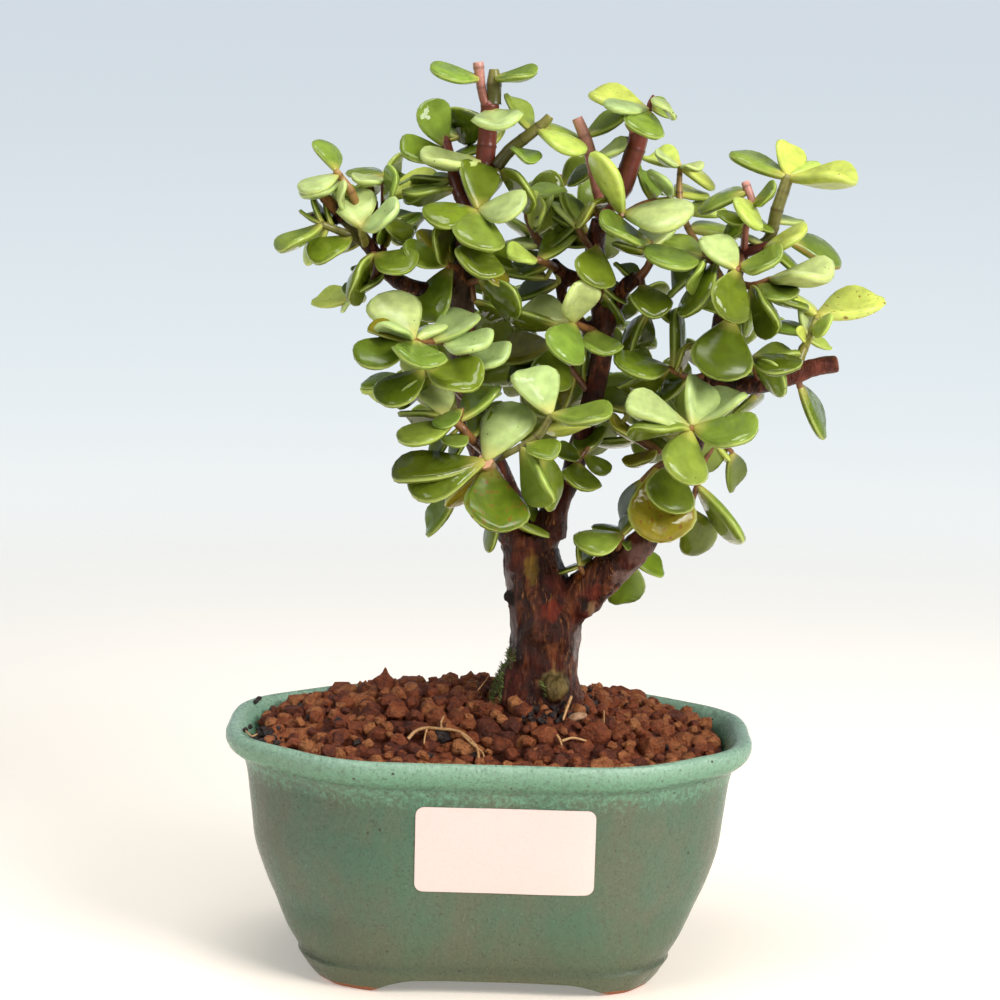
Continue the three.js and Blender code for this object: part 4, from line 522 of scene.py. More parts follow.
# For each shoot its name, its stems and its leaves. A stem may be sawn off, has a skin, and then its
# points. A leaf has the values of Leaf, in order. A shoot on the far side has no rows of leaves, but
# after its name the number of leaf pairs on each stem and the width of the lowest in millimetres.
SHOOT_CHART = """
far_left_tip
tan: 358 208 2 9, 350 190 4 9, 341 178 5 8, 336 171 6 7
tan: 348 222 4 8, 354 214 3 9, 358 208 2 9
336 172 326 137 -26 10.5 b
338 175 301 191 17 11 p
341 183 302 198 13 11 p
345 181 336 201 8 -9 p
356 193 339 190 -7 8 l
left_low_spray
green: 366 246 4 10, 362 234 9 8, 361 227 12 7
olive: 366 246 3 9, 352 236 8 9, 334 229 9 8, 322 224 10 7
362 226 349 197 -48 14 p
361 229 399 210 22 12.5 p
322 224 281 256 15 13 b
326 232 299 257 -20 10.5 l
352 236 314 260 26 13 m
322 224 318 202 -12 9 d
332 228 330 206 -11 9 d
318 224 306 212 -14 8 m
356 250 343 249 -12 6 o
left_maroon_stem
maroon: 384 260 5 7, 383 228 0 7, 384 202 -3 7, 383 178 -5 4
385 171 354 164 -18 11 b
384 173 357 183 14 10 p
384 180 357 192 -14 -10 b
384 178 400 160 -16 -10 l
386 200 401 175 23 11 b
384 228 414 222 -30 -13 m
392 198 438 172 -24 13 l
383 215 402 238 22 11 m
384 190 409 174 -24 11.5 b
388 236 414 218 -22 12 b
381 244 384 231 9 6 m
386 248 391 236 8 4 o
leader_left_side
maroon: 470 214 4 16, 458 190 2 14, 452 165 0 12, 447 148 -2 12, 444 136 -3 10
445 149 423 102 -37 12 b
447 152 400 156 31 12.5 m
458 138 432 122 -14 9 p
455 181 415 190 -17 -12 d
452 178 402 188 -24 14 b
454 190 402 196 -12 -12 b
leader_top
maroon: 471 222 3 22, 480 190 2 22, 485 160 2 21, 488 130 2 20, 490 104 2 19
sawn salmon: 486 106 3 9, 482 92 3 9, 478 62 3 11
sawn olive: 493 104 2 16, 494 85 2 15, 494 69 2 10
478 79 432 69 15 12.5 b
500 77 535 79 14 11 b
484 122 456 123 -40 -12.5 d
492 110 502 134 50 15 p
477 160 422 161 17 15 p
478 148 453 149 -13 9 m
497 150 500 136 -10 8 l
499 169 537 203 24 -14 m
497 178 492 196 -11 9 b
leader_right_shoot
sawn olive: 497 166 3 14, 510 150 4 13, 530 134 6 12, 545 122 6 10, 550 116 6 9
531 130 507 101 -14 12 b
510 143 531 160 13 10 b
541 135 585 146 15 12.5 l
544 131 580 131 -12 11 b
leader_front
rust: 470 262 9 9, 474 245 15 8, 476 225 15 7, 478 210 15 6
478 209 476 160 -41 13.5 m
475 211 428 211 25 13.5 m
480 210 523 205 31 13.5 p
477 212 482 240 50 15.5 b
479 238 479 278 48 15.5 m
482 240 509 262 -21 12 d
482 250 509 282 18 10.5 o
leader_left_low
rust: 458 269 6 9, 447 265 11 7
447 265 426 229 -26 12 o
451 268 417 316 36 14.5 m
444 266 404 241 -25 11.5 d
451 262 444 224 -20 12 d
446 262 404 248 24 11.5 m
444 266 430 230 24 12 d
leader_right_low
rust: 468 283 6 9, 479 280 11 7
rust: 472 284 7 6, 474 300 9 6
479 280 514 313 25 -14 d
474 300 506 318 -13 -10 d
left_branch_mid
rust: 384 272 6 9, 378 264 10 8, 374 254 13 7
rust: 378 264 10 8, 372 281 8 7, 352 299 -5 5
370 256 412 274 36 13 m
366 254 347 299 17 -14 d
380 276 351 300 18 11.5 d
352 298 318 299 -21 11.5 l
368 272 358 268 -17 7 d
366 300 348 306 -11 -9 p
front_left_heart
rust: 464 346 6 9, 458 344 14 8, 445 342 22 7, 413 341 30 6
rust: 458 344 14 7, 470 350 18 6
412 339 386 287 -54 16 p
414 340 419 373 54 16 b
409 343 382 322 14 -10.5 p
408 338 368 326 -18 9 o
406 344 379 333 -11 7 l
406 346 357 360 35 14 m
416 339 436 319 -21 10.5 p
430 345 474 320 -25 14.5 p
443 350 489 346 27 14 p
470 352 505 362 37 13 p
front_left_round
rust: 470 404 6 9, 462 396 15 8, 450 385 22 7, 426 369 28 6
426 369 478 383 40 15.5 m
464 398 491 380 -30 12 p
424 374 380 402 36 14 d
430 380 401 409 15 -11 d
410 380 363 382 -15 12 m
410 390 363 392 -13 -12 l
front_triangle
rust: 486 456 6 10, 483 450 18 10, 470 438 28 10, 458 424 30 9, 444 417 32 6
rust: 458 424 30 6, 462 409 31 5
443 416 431 374 -40 13 p
461 409 437 427 17 8.5 b
459 420 496 393 -19 14 b
450 428 401 441 23 14 b
468 435 448 440 14 8 b
472 438 488 415 -20 9.5 m
442 418 404 418 -21 -12 d
450 436 430 458 -14 9 m
462 440 450 458 -12 8 m
front_low_great
sawn tan: 503 492 4 13, 499 480 18 12, 485 461 34 17
479 463 407 482 43 17.5 m
487 467 498 533 64 19.5 ds
493 455 517 398 -52 16.5 p
480 469 455 507 -23 -14 o
474 462 393 482 -30 17 d
front_low_under
rust: 509 518 2 9, 507 516 12 8, 495 510 14 7, 455 497 16 6
455 498 432 531 -19 12 m
505 512 545 527 -30 14 m
500 516 480 546 -18 10 m
front_right_heart
olive: 490 468 6 9, 492 462 18 8, 505 455 32 7, 522 446 34 7, 540 434 34 9, 551 415 34 7
552 413 526 367 -47 14.5 p
551 415 611 417 22 15 b
545 430 585 428 -12 -13 l
522 448 549 505 26 -15.5 b
540 450 557 505 -26 15 m
530 446 553 456 26 10 m
centre_low_cluster
rust: 568 485 -1 8, 576 464 8 6, 588 448 6 5
576 462 582 491 38 12.5 m
578 452 558 452 20 7.5 d
590 460 609 470 18 7 m
588 458 594 431 -28 11.5 d
mid_right_twig
rust: 595 405 -4 11, 620 425 -2 11, 645 443 2 10, 660 452 4 7
630 412 591 393 -22 13.5 d
640 432 609 428 18 11 o
656 451 629 467 16 10 o
636 440 602 452 -14 -11 d
650 440 672 448 -18 10 d
mid_left_sprays
rust: 556 268 -1 9, 545 262 7 8, 537 260 9 7
rust: 545 262 7 8, 541 246 -1 9, 533 232 -4 8, 526 212 -7 6, 527 197 -8 5
528 198 560 186 -19 11.5 b
532 230 542 196 -24 -12 b
530 225 546 206 18 9 l
534 230 541 222 10 5 d
530 232 504 228 -20 -11 b
538 248 510 240 -12 10 p
537 261 510 254 17 10 l
528 240 536 199 -26 13 l
545 274 512 268 -26 13 d
538 260 571 240 -18 12 m
543 254 575 218 -14 12.5 d
546 278 507 265 -19 12.5 d
559 282 518 302 -13 13 d
centre_olive_upright
rust: 594 252 -2 8, 583 237 4 7, 578 228 5 6
577 228 567 197 -20 11 m
580 228 592 199 14 -12 o
584 240 556 222 -16 -11 d
578 230 562 200 -12 10 p
588 246 563 246 -9 8 d
centre_heart_pair
rust: 600 338 -2 9, 592 330 5 8, 585 328 8 8, 573 323 12 7
573 322 582 284 36 12.5 p
573 324 566 353 45 14 b
570 323 521 306 -28 14.5 p
596 326 605 356 38 13 b
560 324 503 325 -20 -14 d
centre_wet_low
rust: 592 396 -4 8, 572 370 -1 7, 556 346 2 6
554 342 553 385 43 13.5 m
554 350 501 353 -32 15 o
556 360 506 380 -17 13 d
574 374 560 406 -20 10 o
584 386 586 354 -14 10 d
centre_round_wet
rust: 596 266 -1 8, 597 246 11 6
rust: 600 302 -2 8, 601 286 6 6, 597 246 11 6
597 244 594 285 43 13.5 m
602 284 621 300 -13 9 d
602 290 616 326 -20 -11 d
crown_top
maroon: 602 216 0 20, 609 203 2 20, 622 188 4 20, 630 165 4 20, 637 143 4 20, 640 129 4 20
sawn salmon: 634 133 5 7, 627 123 6 7
sawn maroon: 643 130 6 7, 648 116 8 6, 650 104 8 6, 655 96 8 6
640 110 592 98 -21 14 l
645 108 607 106 12 11 p
648 112 645 127 44 12.5 b
650 98 673 108 8 -9.5 p
650 106 668 114 -15 9 b
630 140 608 150 -13 9 d
crown_left_fork
sawn salmon: 605 210 2 15, 599 190 2 14, 593 165 3 13, 588 145 4 12, 583 132 4 12, 577 118 4 11
596 158 627 150 16 10.5 p
593 172 570 177 -20 9 d
598 166 620 172 -13 -9 d
590 135 626 113 -15 12 b
right_sub_bright
rust: 603 230 0 9, 613 222 9 8, 622 215 14 7
rust: 622 215 12 6, 640 205 8 6, 655 200 4 5
623 216 590 160 16 -17 l
623 213 686 207 28 18 p
652 200 643 168 -21 12 b
672 198 651 177 9 -10 p
right_sub_mid
rust: 640 277 7 10, 650 262 10 8, 650 242 13 6
rust: 640 277 6 9, 644 296 6 7, 648 314 4 5
650 239 599 230 24 15 b
640 248 666 230 -27 13.5 p
650 252 617 254 -14 -11 d
638 284 618 263 -13 9 d
644 284 655 315 38 12.5 d
652 296 678 314 -17 9.5 m
648 312 634 353 -19 12 d
638 316 618 345 -20 10 d
right_bright
rust: 738 262 -1 9, 722 262 10 7, 702 259 14 6
702 258 650 257 23 15.5 b
700 256 668 235 -23 12.5 b
706 262 690 287 11 -10.5 b
700 266 670 290 -21 13 m
716 266 680 309 17 16 d
right_inner
rust: 714 372 6 9, 692 378 6 7, 669 368 8 6
668 366 619 364 26 15 m
672 374 690 315 -18 17 d
680 376 684 346 16 10 o
662 366 622 392 -23 -13 d
688 380 660 396 -17 9 d
right_heart_pair
rust: 740 258 -1 9, 740 264 16 7, 737 270 22 6
rust: 740 264 12 6, 734 292 12 6, 730 318 15 6
737 271 708 238 -31 13 p
738 266 781 260 25 13 b
738 269 727 319 43 14.5 m
729 320 718 378 64 18 d
720 312 700 304 -13 7 m
right_middle_fan
rust: 734 282 0 9, 752 286 9 8, 770 279 10 6
770 277 829 273 15 17.5 p
757 282 791 297 22 12.5 b
754 288 803 303 -23 15.5 d
750 289 775 329 22 -15.5 d
750 292 756 334 -15 12 b
right_top_fan
maroon: 742 254 -3 10, 765 247 0 10, 788 241 -4 7
765 252 748 230 -14 10.5 p
762 242 803 232 16 13.5 l
767 250 802 263 -15 12 m
788 240 842 250 -30 15.5 br
right_top_lime
sawn salmon: 744 248 -2 8, 746 228 5 7, 753 206 4 8, 745 182 2 9
755 203 776 190 16 9 m
750 205 746 219 40 -12.5 l
745 218 723 213 10 8.5 m
747 222 767 224 -17 9.5 m
748 192 700 198 -19 14.5 b
746 226 726 238 -14 8 m
top_right_olive
olive: 745 250 -4 9, 768 240 -5 12, 777 210 -4 13, 788 178 -5 12
784 174 734 151 -15 15.5 b
789 175 787 147 -31 11 l
792 175 812 157 -18 9.5 l
790 178 857 177 13 17 l
776 222 797 219 -10 9.5 p
back_backlit
tan: 728 290 -1 8, 712 262 -5 7, 690 232 -9 7, 680 200 -13 7, 680 165 -14 5
680 165 649 154 -24 11.5 l
682 168 716 179 -16 10.5 l
681 166 656 156 8 8 p
682 166 700 168 6 7 p
680 195 698 190 -23 11.5 l
679 196 661 184 -15 8.5 l
684 212 722 207 -18 12 l
690 230 733 222 -21 14.5 l
far_right_yellow
green: 797 366 10 11, 803 350 8 10, 808 340 5 8, 817 316 0 5
816 315 787 284 -14 13.5 l
820 317 877 299 -31 17.5 ls
812 330 826 321 15 8.5 l
807 338 798 308 -10 10 p
810 341 829 347 -9 6.5 l
806 334 776 318 -17 10 b
806 342 797 330 9 5 l
stub_leaves
rust: 760 380 11 8, 754 366 14 7, 752 358 14 6
753 360 779 391 21 -13 b
752 356 794 361 17 14 d
752 354 797 352 -13 12 b
750 362 732 377 -9 6 l
stub_hanging
rust: 798 378 9 8, 800 387 7 7
800 385 826 432 -16 15 m
stub_under
rust: 758 386 8 8, 757 395 2 6
757 392 748 417 -23 11.5 m
right_front_cross
rust: 703 422 10 9, 696 426 22 8, 689 430 30 8
689 425 630 405 25 17 p
686 434 633 421 14 -15 m
690 425 702 378 -39 14 p
692 425 741 390 -29 15.5 p
696 436 756 436 38 16.5 b
688 434 683 481 49 15.5 b
right_front_low
rust: 692 452 12 9, 678 462 16 8, 660 465 14 7, 642 480 10 5
673 465 669 511 51 15.5 d
656 466 662 541 69 20 os
640 482 620 520 -21 12 d
right_low_back
rust: 704 412 6 7, 716 436 -6 6, 704 462 -6 6, 697 486 -4 6, 690 508 -8 5
rust: 716 436 -6 6, 732 452 -9 5
698 486 740 545 16 -17 b
688 512 706 556 -43 13 m
732 452 731 485 -18 11 m
712 440 720 463 -17 -9 l
low_branch_leaves
rust: 616 562 10 7, 622 536 16 6
623 534 581 540 25 13 b
621 533 599 520 -15 9 d
623 534 636 508 -18 10 m
628 541 629 550 6 3 b
low_branch_inner
rust: 590 586 6 6, 580 567 10 5
579 565 584 536 -19 10 d
579 567 562 566 -11 7 d
low_branch_back
rust: 630 556 8 7, 632 560 -2 7, 632 562 -10 6
630 562 622 602 -36 12.5 m
640 554 660 571 -22 9 m
rear_leader 5 15
rust: 474 420 2 11, 462 402 -14 9, 440 372 -30 7, 432 340 -42 5
rust: 458 396 -17 8, 476 362 -26 7, 488 322 -34 6, 494 286 -40 5
rear_centre 5 15
rust: 584 430 -6 11, 566 410 -22 9, 548 384 -38 7, 536 346 -48 5
rust: 562 404 -25 8, 590 366 -34 7, 612 330 -40 6, 626 290 -46 5
rear_crown 4 12.5
rust: 596 248 -4 9, 582 226 -18 8, 566 204 -30 6, 560 176 -38 5
rear_right 5 14
rust: 694 445 8 10, 676 428 -10 9, 662 404 -26 7, 656 372 -38 5
rust: 674 424 -13 8, 704 396 -24 7, 728 360 -32 6, 744 318 -38 5
"""



# ---- finishes

BLEND = {"data_type": "RGBA"}
DARKEN = {"data_type": "RGBA", "blend_type": "MULTIPLY"}


@dataclass(frozen=True)
class SucculentLeaf:
    """Jade leaf, grown: a thin wax over watery flesh, with water standing on some leaves.

    The wax gives a soft pale sheen, the water sharp bright patches, and the flesh glows a little
    where light comes through its thin rim.
    """

    base: str = "#c2b45c"
    rim: str = "#c9d873"
    red_rim: str = "#a4553c"
    under: str = "#8b9a48"
    speck: str = "#27300f"
    brown: str = "#7b4f22"
    mottle_mm: float = 3.4
    film_mm: float = 4.6
    speck_mm: float = 2.6
    wax_mm: float = 0.45
    wax_roughness: float = 0.27
    film_roughness: float = 0.05
    film_depth_mm: float = 0.35
    flesh_mm: float = 1.3

    def material(self) -> Material:
        """Makes the material."""
        material, node = new_material("waxed_jade_leaf")
        place = node(PLACES, out="Object")
        tone = node(STORED, out="Color", attribute_name="tone")
        rim, along, under, wet, spoiled, age = (
            node(STORED, out="Fac", attribute_name=name) for name in ("rim", "along", "under", "wet", "spoiled", "age")
        )
        # Flesh: the tone of the leaf, cloudy, greyer underneath and straw-coloured at the stalk
        mottle = node(NOISE, {"Vector": place, "Scale": per_metre(self.mottle_mm), "Detail": 4.0})
        depth = node(REMAP, (mottle, 0.3, 0.7, 0.8, 1.16))
        flesh = node(MIX, {0: 1.0, 6: tone, 7: depth}, 2, **DARKEN)
        below = node(MATHS, (under, 0.3), operation="MULTIPLY")
        stalk = node(REMAP, (along, 0.0, 0.28, 0.8, 0.0))
        # Rim: thin flesh, pale where light comes through and reddish on some leaves
        edge = node(REMAP, (rim, 0.86, 1.0, 0.0, 0.55), interpolation_type="SMOOTHSTEP")
        edge_colour = node(MIX, {0: age, 6: self.rim, 7: self.red_rim}, 2, **BLEND)
        # Dark pores, and dry brown spots on spoiled leaves
        specks = node(CELLS, {"Vector": place, "Scale": per_metre(self.speck_mm)})
        specks = node(REMAP, (specks, 0.05, 0.11, 0.9, 0.0))
        some = node(NOISE, {"Vector": place, "Scale": per_metre(9.0), "Detail": 1.0})
        some = node(MATHS, (some, 0.52), operation="GREATER_THAN")
        specks = node(MATHS, (specks, some), operation="MULTIPLY")
        dry = node(NOISE, {"Vector": place, "Scale": per_metre(1.7), "Detail": 3.0})
        dry = node(REMAP, (dry, 0.6, 0.66, 0.0, 0.85))
        dry = node(MATHS, (dry, spoiled), operation="MULTIPLY")
        for share, layer in (
            (below, self.under), (stalk, self.base), (edge, edge_colour), (specks, self.speck), (dry, self.brown),
        ):
            flesh = node(MIX, {0: share, 6: flesh, 7: layer}, 2, **BLEND)
        # Standing water: flat glossy pools with a soft swell
        pools = node(NOISE, {"Vector": place, "Scale": per_metre(self.film_mm), "Detail": 1.0, "Distortion": 0.6})
        film = node(REMAP, (pools, 0.42, 0.5, 0.0, 1.0), interpolation_type="SMOOTHSTEP")
        film = node(MATHS, (film, wet), operation="MULTIPLY")
        gloss = node(REMAP, (film, 0.0, 1.0, self.wax_roughness, self.film_roughness))
        grain = node(NOISE, {"Vector": place, "Scale": per_metre(self.wax_mm), "Detail": 2.0})
        skin = node(BUMP, {"Height": grain, "Distance": 0.015 * MM, "Strength": 0.6})
        swell = node(MATHS, (pools, wet), operation="MULTIPLY")
        water = node(BUMP, {"Height": swell, "Distance": self.film_depth_mm * MM, "Normal": skin})
        shader = node(SURFACE, {
            "Base Color": flesh,
            "Roughness": gloss,
            "IOR": 1.35,
            "Subsurface Weight": 0.16,
            "Subsurface Radius": (0.9, 1.0, 0.1),
            "Subsurface Scale": self.flesh_mm * MM,
            "Normal": water,
        })
        node("ShaderNodeOutputMaterial", (shader,))
        return material


@dataclass(frozen=True)
class YoungStem:
    """Young jade stem, grown: a smooth skin that goes from green to maroon, with a paler cut end."""

    cut: str = "#c98d72"
    pith: str = "#e0b48c"
    dark: str = "#3a1f16"
    streak_mm: float = 1.6
    roughness: float = 0.32

    def material(self) -> Material:
        """Makes the material."""
        material, node = new_material("young_stem_skin")
        place = node(PLACES, out="Object")
        tone = node(STORED, out="Color", attribute_name="tone")
        cut = node(STORED, out="Fac", attribute_name="cut")
        joint = node(STORED, out="Fac", attribute_name="joint")
        blotch = node(NOISE, {"Vector": place, "Scale": per_metre(self.streak_mm), "Detail": 3.0})
        share = node(REMAP, (blotch, 0.52, 0.75, 0.0, 0.4))
        share = node(MATHS, (share, joint), operation="MAXIMUM")
        skin = node(MIX, {0: share, 6: tone, 7: self.dark}, 2, **BLEND)
        open_end = node(MIX, {0: blotch, 6: self.cut, 7: self.pith}, 2, **BLEND)
        skin = node(MIX, {0: cut, 6: skin, 7: open_end}, 2, **BLEND)
        relief = node(BUMP, {"Height": blotch, "Distance": 0.2 * MM, "Strength": 0.7})
        shader = node(SURFACE, {"Base Color": skin, "Roughness": self.roughness, "IOR": 1.42, "Normal": relief})
        node("ShaderNodeOutputMaterial", (shader,))
        return material


@dataclass(frozen=True)
class JadeBark:
    """Old jade bark, grown: thin wet brown skin in flakes along the wood, with stains of its own."""

    deep: str = "#110502"
    brown: str = "#371408"
    tan: str = "#7a4224"
    gold: str = "#a97036"
    red: str = "#581c0e"
    cut: str = "#b98460"
    cut_dark: str = "#6d4630"
    flake_mm: float = 3.4
    fibre_mm: float = 0.9
    patch_mm: float = 9.0
    grain_mm: float = 0.5

    def material(self) -> Material:
        """Makes the material."""
        material, node = new_material("flaking_jade_bark")
        place = node(PLACES, out="Object")
        drawn = node(STRETCH, {"Vector": place, "Scale": (1.0, 1.0, 0.3)})
        flakes = node(NOISE, {
            "Vector": drawn, "Scale": per_metre(self.flake_mm), "Detail": 7.0, "Roughness": 0.66, "Distortion": 0.8,
        })
        wood = node(RAMP, (flakes,))
        set_stops(wood, ((0.33, self.deep), (0.5, self.brown), (0.68, self.tan)))
        # Red young skin in patches, and gold fibres where the skin has split
        patches = node(NOISE, {"Vector": place, "Scale": per_metre(self.patch_mm), "Detail": 3.0})
        red = node(REMAP, (patches, 0.52, 0.68, 0.0, 0.6))
        thin = node(STRETCH, {"Vector": place, "Scale": (1.0, 1.0, 0.22)})
        fibres = node(NOISE, {"Vector": thin, "Scale": per_metre(self.fibre_mm), "Detail": 3.0, "Roughness": 0.6})
        gold = node(REMAP, (fibres, 0.6, 0.7, 0.0, 0.75))
        inside = node(REMAP, (patches, 0.56, 0.46, 0.0, 1.0))
        gold = node(MATHS, (gold, inside), operation="MULTIPLY")
        # Stains that belong to one place, and sawn ends
        stain = node(STORED, out="Color", attribute_name="stain")
        worn = node(REMAP, (flakes, 0.3, 0.7, 0.35, 1.3))
        stain_colour = node(MIX, {0: 1.0, 6: stain, 7: worn}, 2, **DARKEN)
        stained = node(STORED, out="Fac", attribute_name="stained")
        cut = node(STORED, out="Fac", attribute_name="cut")
        face = node(MIX, {0: flakes, 6: self.cut_dark, 7: self.cut}, 2, **BLEND)
        for share, layer in ((red, self.red), (gold, self.gold), (stained, stain_colour), (cut, face)):
            wood = node(MIX, {0: share, 6: wood, 7: layer}, 2, **BLEND)
        grain = node(NOISE, {"Vector": drawn, "Scale": per_metre(self.grain_mm), "Detail": 3.0})
        fine = node(BUMP, {"Height": grain, "Distance": 0.25 * MM, "Strength": 0.9})
        middling = node(BUMP, {"Height": fibres, "Distance": 0.5 * MM, "Normal": fine})
        coarse = node(BUMP, {"Height": flakes, "Distance": 2.2 * MM, "Normal": middling})
        gloss = node(REMAP, (patches, 0.35, 0.65, 0.16, 0.42))
        shader = node(SURFACE, {"Base Color": wood, "Roughness": gloss, "IOR": 1.3, "Normal": coarse})
        node("ShaderNodeOutputMaterial", (shader,))
        return material


@dataclass(frozen=True)
class CeladonGlaze:
    """Stoneware under a thick runny green glaze: glossy, cloudy teal and grey-green, with iron specks.

    It breaks paler over the lip, where a painted highlight is added too, pools darker in the groove and
    under the lip, where the dark is partly painted shade, turns olive low down, and leaves the feet bare
    where the pot stood in the kiln.
    """

    body: str = "#43644c"
    teal: str = "#659879"
    grey: str = "#565f49"
    # Thin glaze over the lip, with a painted highlight added
    pale: str = "#a4bca5"
    olive: str = "#56583a"
    # Dark pooled glaze, also used as painted shade under the lip
    pooled_glaze_and_shade: str = "#35473a"
    iron: str = "#2c2419"
    clay: str = "#9a5f3e"
    cloud_mm: float = 15.0
    mottle_mm: float = 1.5
    speck_mm: float = 0.9
    spot_mm: float = 7.0
    groove_mm: float = 8.0
    neck_mm: float = 63.6

    def material(self) -> Material:
        """Makes the material."""
        material, node = new_material("celadon_glazed_stoneware")
        place = node(PLACES, out="Object")
        height = node(SPLIT, (place,), "Z")
        # Clouds of three greens, more teal near the lip and olive near the foot
        run = node(STRETCH, {"Vector": place, "Scale": (1.0, 1.0, 0.55)})
        clouds = node(NOISE, {"Vector": run, "Scale": per_metre(self.cloud_mm), "Detail": 5.0, "Roughness": 0.62})
        body = node(REMAP, (clouds, 0.38, 0.62, 0.0, 1.0))
        mottle = node(NOISE, {"Vector": place, "Scale": per_metre(self.mottle_mm), "Detail": 6.0, "Roughness": 0.75})
        upper = node(REMAP, (height, 56 * MM, 67 * MM, 0.3, 0.6))
        teal = node(MATHS, (mottle, upper), operation="MULTIPLY")
        teal = node(REMAP, (teal, 0.18, 0.27, 0.0, 0.85))
        low = node(REMAP, (height, 24 * MM, 5 * MM, 0.0, 0.7))
        # Dark where the glaze pools in the groove over the foot, and in a band under the lip that is partly pooled
        # glaze, partly painted shade
        pools = []
        for level, reach in ((self.groove_mm, 2.4), (self.neck_mm, 1.8)):
            apart = node(MATHS, (height, level * MM), operation="SUBTRACT")
            apart = node(MATHS, (apart,), operation="ABSOLUTE")
            pools.append(node(REMAP, (apart, 0.3 * MM, reach * MM, 0.35, 0.0)))
        # Pale over the lip: partly the glaze running thin, partly a painted highlight where its top catches the lamps
        thin = node(REMAP, (height, 66.5 * MM, 70.5 * MM, 0.0, 1.0))
        thin = node(MATHS, (thin, mottle), operation="MULTIPLY")
        # Iron: a fine dusting, and a few larger spots
        dust = node(NOISE, {"Vector": place, "Scale": per_metre(self.speck_mm), "Detail": 4.0, "Roughness": 0.8})
        dust = node(REMAP, (dust, 0.54, 0.66, 0.0, 0.65))
        spots = node(CELLS, {"Vector": place, "Scale": per_metre(self.spot_mm)})
        spots = node(REMAP, (spots, 0.04, 0.075, 0.95, 0.0))
        # Bare clay on the feet
        bare_line = node(REMAP, (clouds, 0.3, 0.7, 0.6 * MM, 1.7 * MM))
        bare = node(MATHS, (height, bare_line), operation="LESS_THAN")
        colour = self.grey
        for share, layer in (
            (body, self.body), (teal, self.teal), (low, self.olive), (pools[0], self.pooled_glaze_and_shade), (pools[1], self.pooled_glaze_and_shade),
            (thin, self.pale), (dust, self.iron), (spots, self.iron), (bare, self.clay),
        ):
            colour = node(MIX, {0: share, 6: colour, 7: layer}, 2, **BLEND)
        gloss = node(REMAP, (mottle, 0.3, 0.7, 0.14, 0.34))
        gloss = node(MATHS, (gloss, bare), operation="MAXIMUM")
        fine = node(BUMP, {"Height": mottle, "Distance": 0.3 * MM})
        relief = node(BUMP, {"Height": clouds, "Distance": 1.2 * MM, "Normal": fine})
        shader = node(SURFACE, {"Base Color": colour, "Roughness": gloss, "IOR": 1.5, "Normal": relief})
        node("ShaderNodeOutputMaterial", (shader,))
        return material


@dataclass(frozen=True)
class ClayGranule:
    """Porous red clay granules, fired low and crushed: pitted, damp, dark in the gaps, where the bed's darkest shade
    is painted shade.
    """

    dark: str = "#59230d"
    brown: str = "#9b4a1e"
    light: str = "#cb8149"
    pit: str = "#260f07"
    pore_mm: float = 0.6
    crumb_mm: float = 1.5
    blotch_mm: float = 4.0

    def material(self) -> Material:
        """Makes the material."""
        material, node = new_material("fired_clay_granule")
        place = node(PLACES, out="Object")
        shade = node(STORED, out="Fac", attribute_name="shade")
        blotch = node(NOISE, {"Vector": place, "Scale": per_metre(self.blotch_mm), "Detail": 6.0, "Roughness": 0.7})
        share = node(MIX, {0: 0.62, 2: shade, 3: blotch})
        clay = node(RAMP, (share,))
        set_stops(clay, ((0.26, self.dark), (0.48, self.brown), (0.74, self.light)))
        pores = node(NOISE, {"Vector": place, "Scale": per_metre(self.pore_mm), "Detail": 3.0, "Roughness": 0.7})
        share = node(REMAP, (pores, 0.45, 0.32, 0.0, 0.8))
        clay = node(MIX, {0: share, 6: clay, 7: self.pit}, 2, **BLEND)
        crumbs = node(CELLS, {"Vector": place, "Scale": per_metre(self.crumb_mm)})
        fine = node(BUMP, {"Height": pores, "Distance": 1.0 * MM})
        middling = node(BUMP, {"Height": crumbs, "Distance": 0.7 * MM, "Normal": fine}, invert=True)
        coarse = node(BUMP, {"Height": blotch, "Distance": 3.0 * MM, "Normal": middling})
        shader = node(SURFACE, {"Base Color": clay, "Roughness": 0.6, "Normal": coarse})
        node("ShaderNodeOutputMaterial", (shader,))
        return material


@dataclass(frozen=True)
class TwoToned:
    """A grainy stuff in two shades: its name says what it is and how it was made or grown."""

    name: str
    dark: str
    light: str
    grain_mm: float
    relief_mm: float
    roughness: float
    sheen: float = 0.0

    def material(self) -> Material:
        """Makes the material."""
        material, node = new_material(self.name)
        place = node(PLACES, out="Object")
        grain = node(NOISE, {"Vector": place, "Scale": per_metre(self.grain_mm), "Detail": 5.0, "Roughness": 0.65})
        share = node(REMAP, (grain, 0.3, 0.7, 0.0, 1.0))
        colour = node(MIX, {0: share, 6: self.dark, 7: self.light}, 2, **BLEND)
        relief = node(BUMP, {"Height": grain, "Distance": self.relief_mm * MM})
        shader = node(SURFACE, {
            "Base Color": colour, "Roughness": self.roughness, "Sheen Weight": self.sheen, "Normal": relief,
        })
        node("ShaderNodeOutputMaterial", (shader,))
        return material


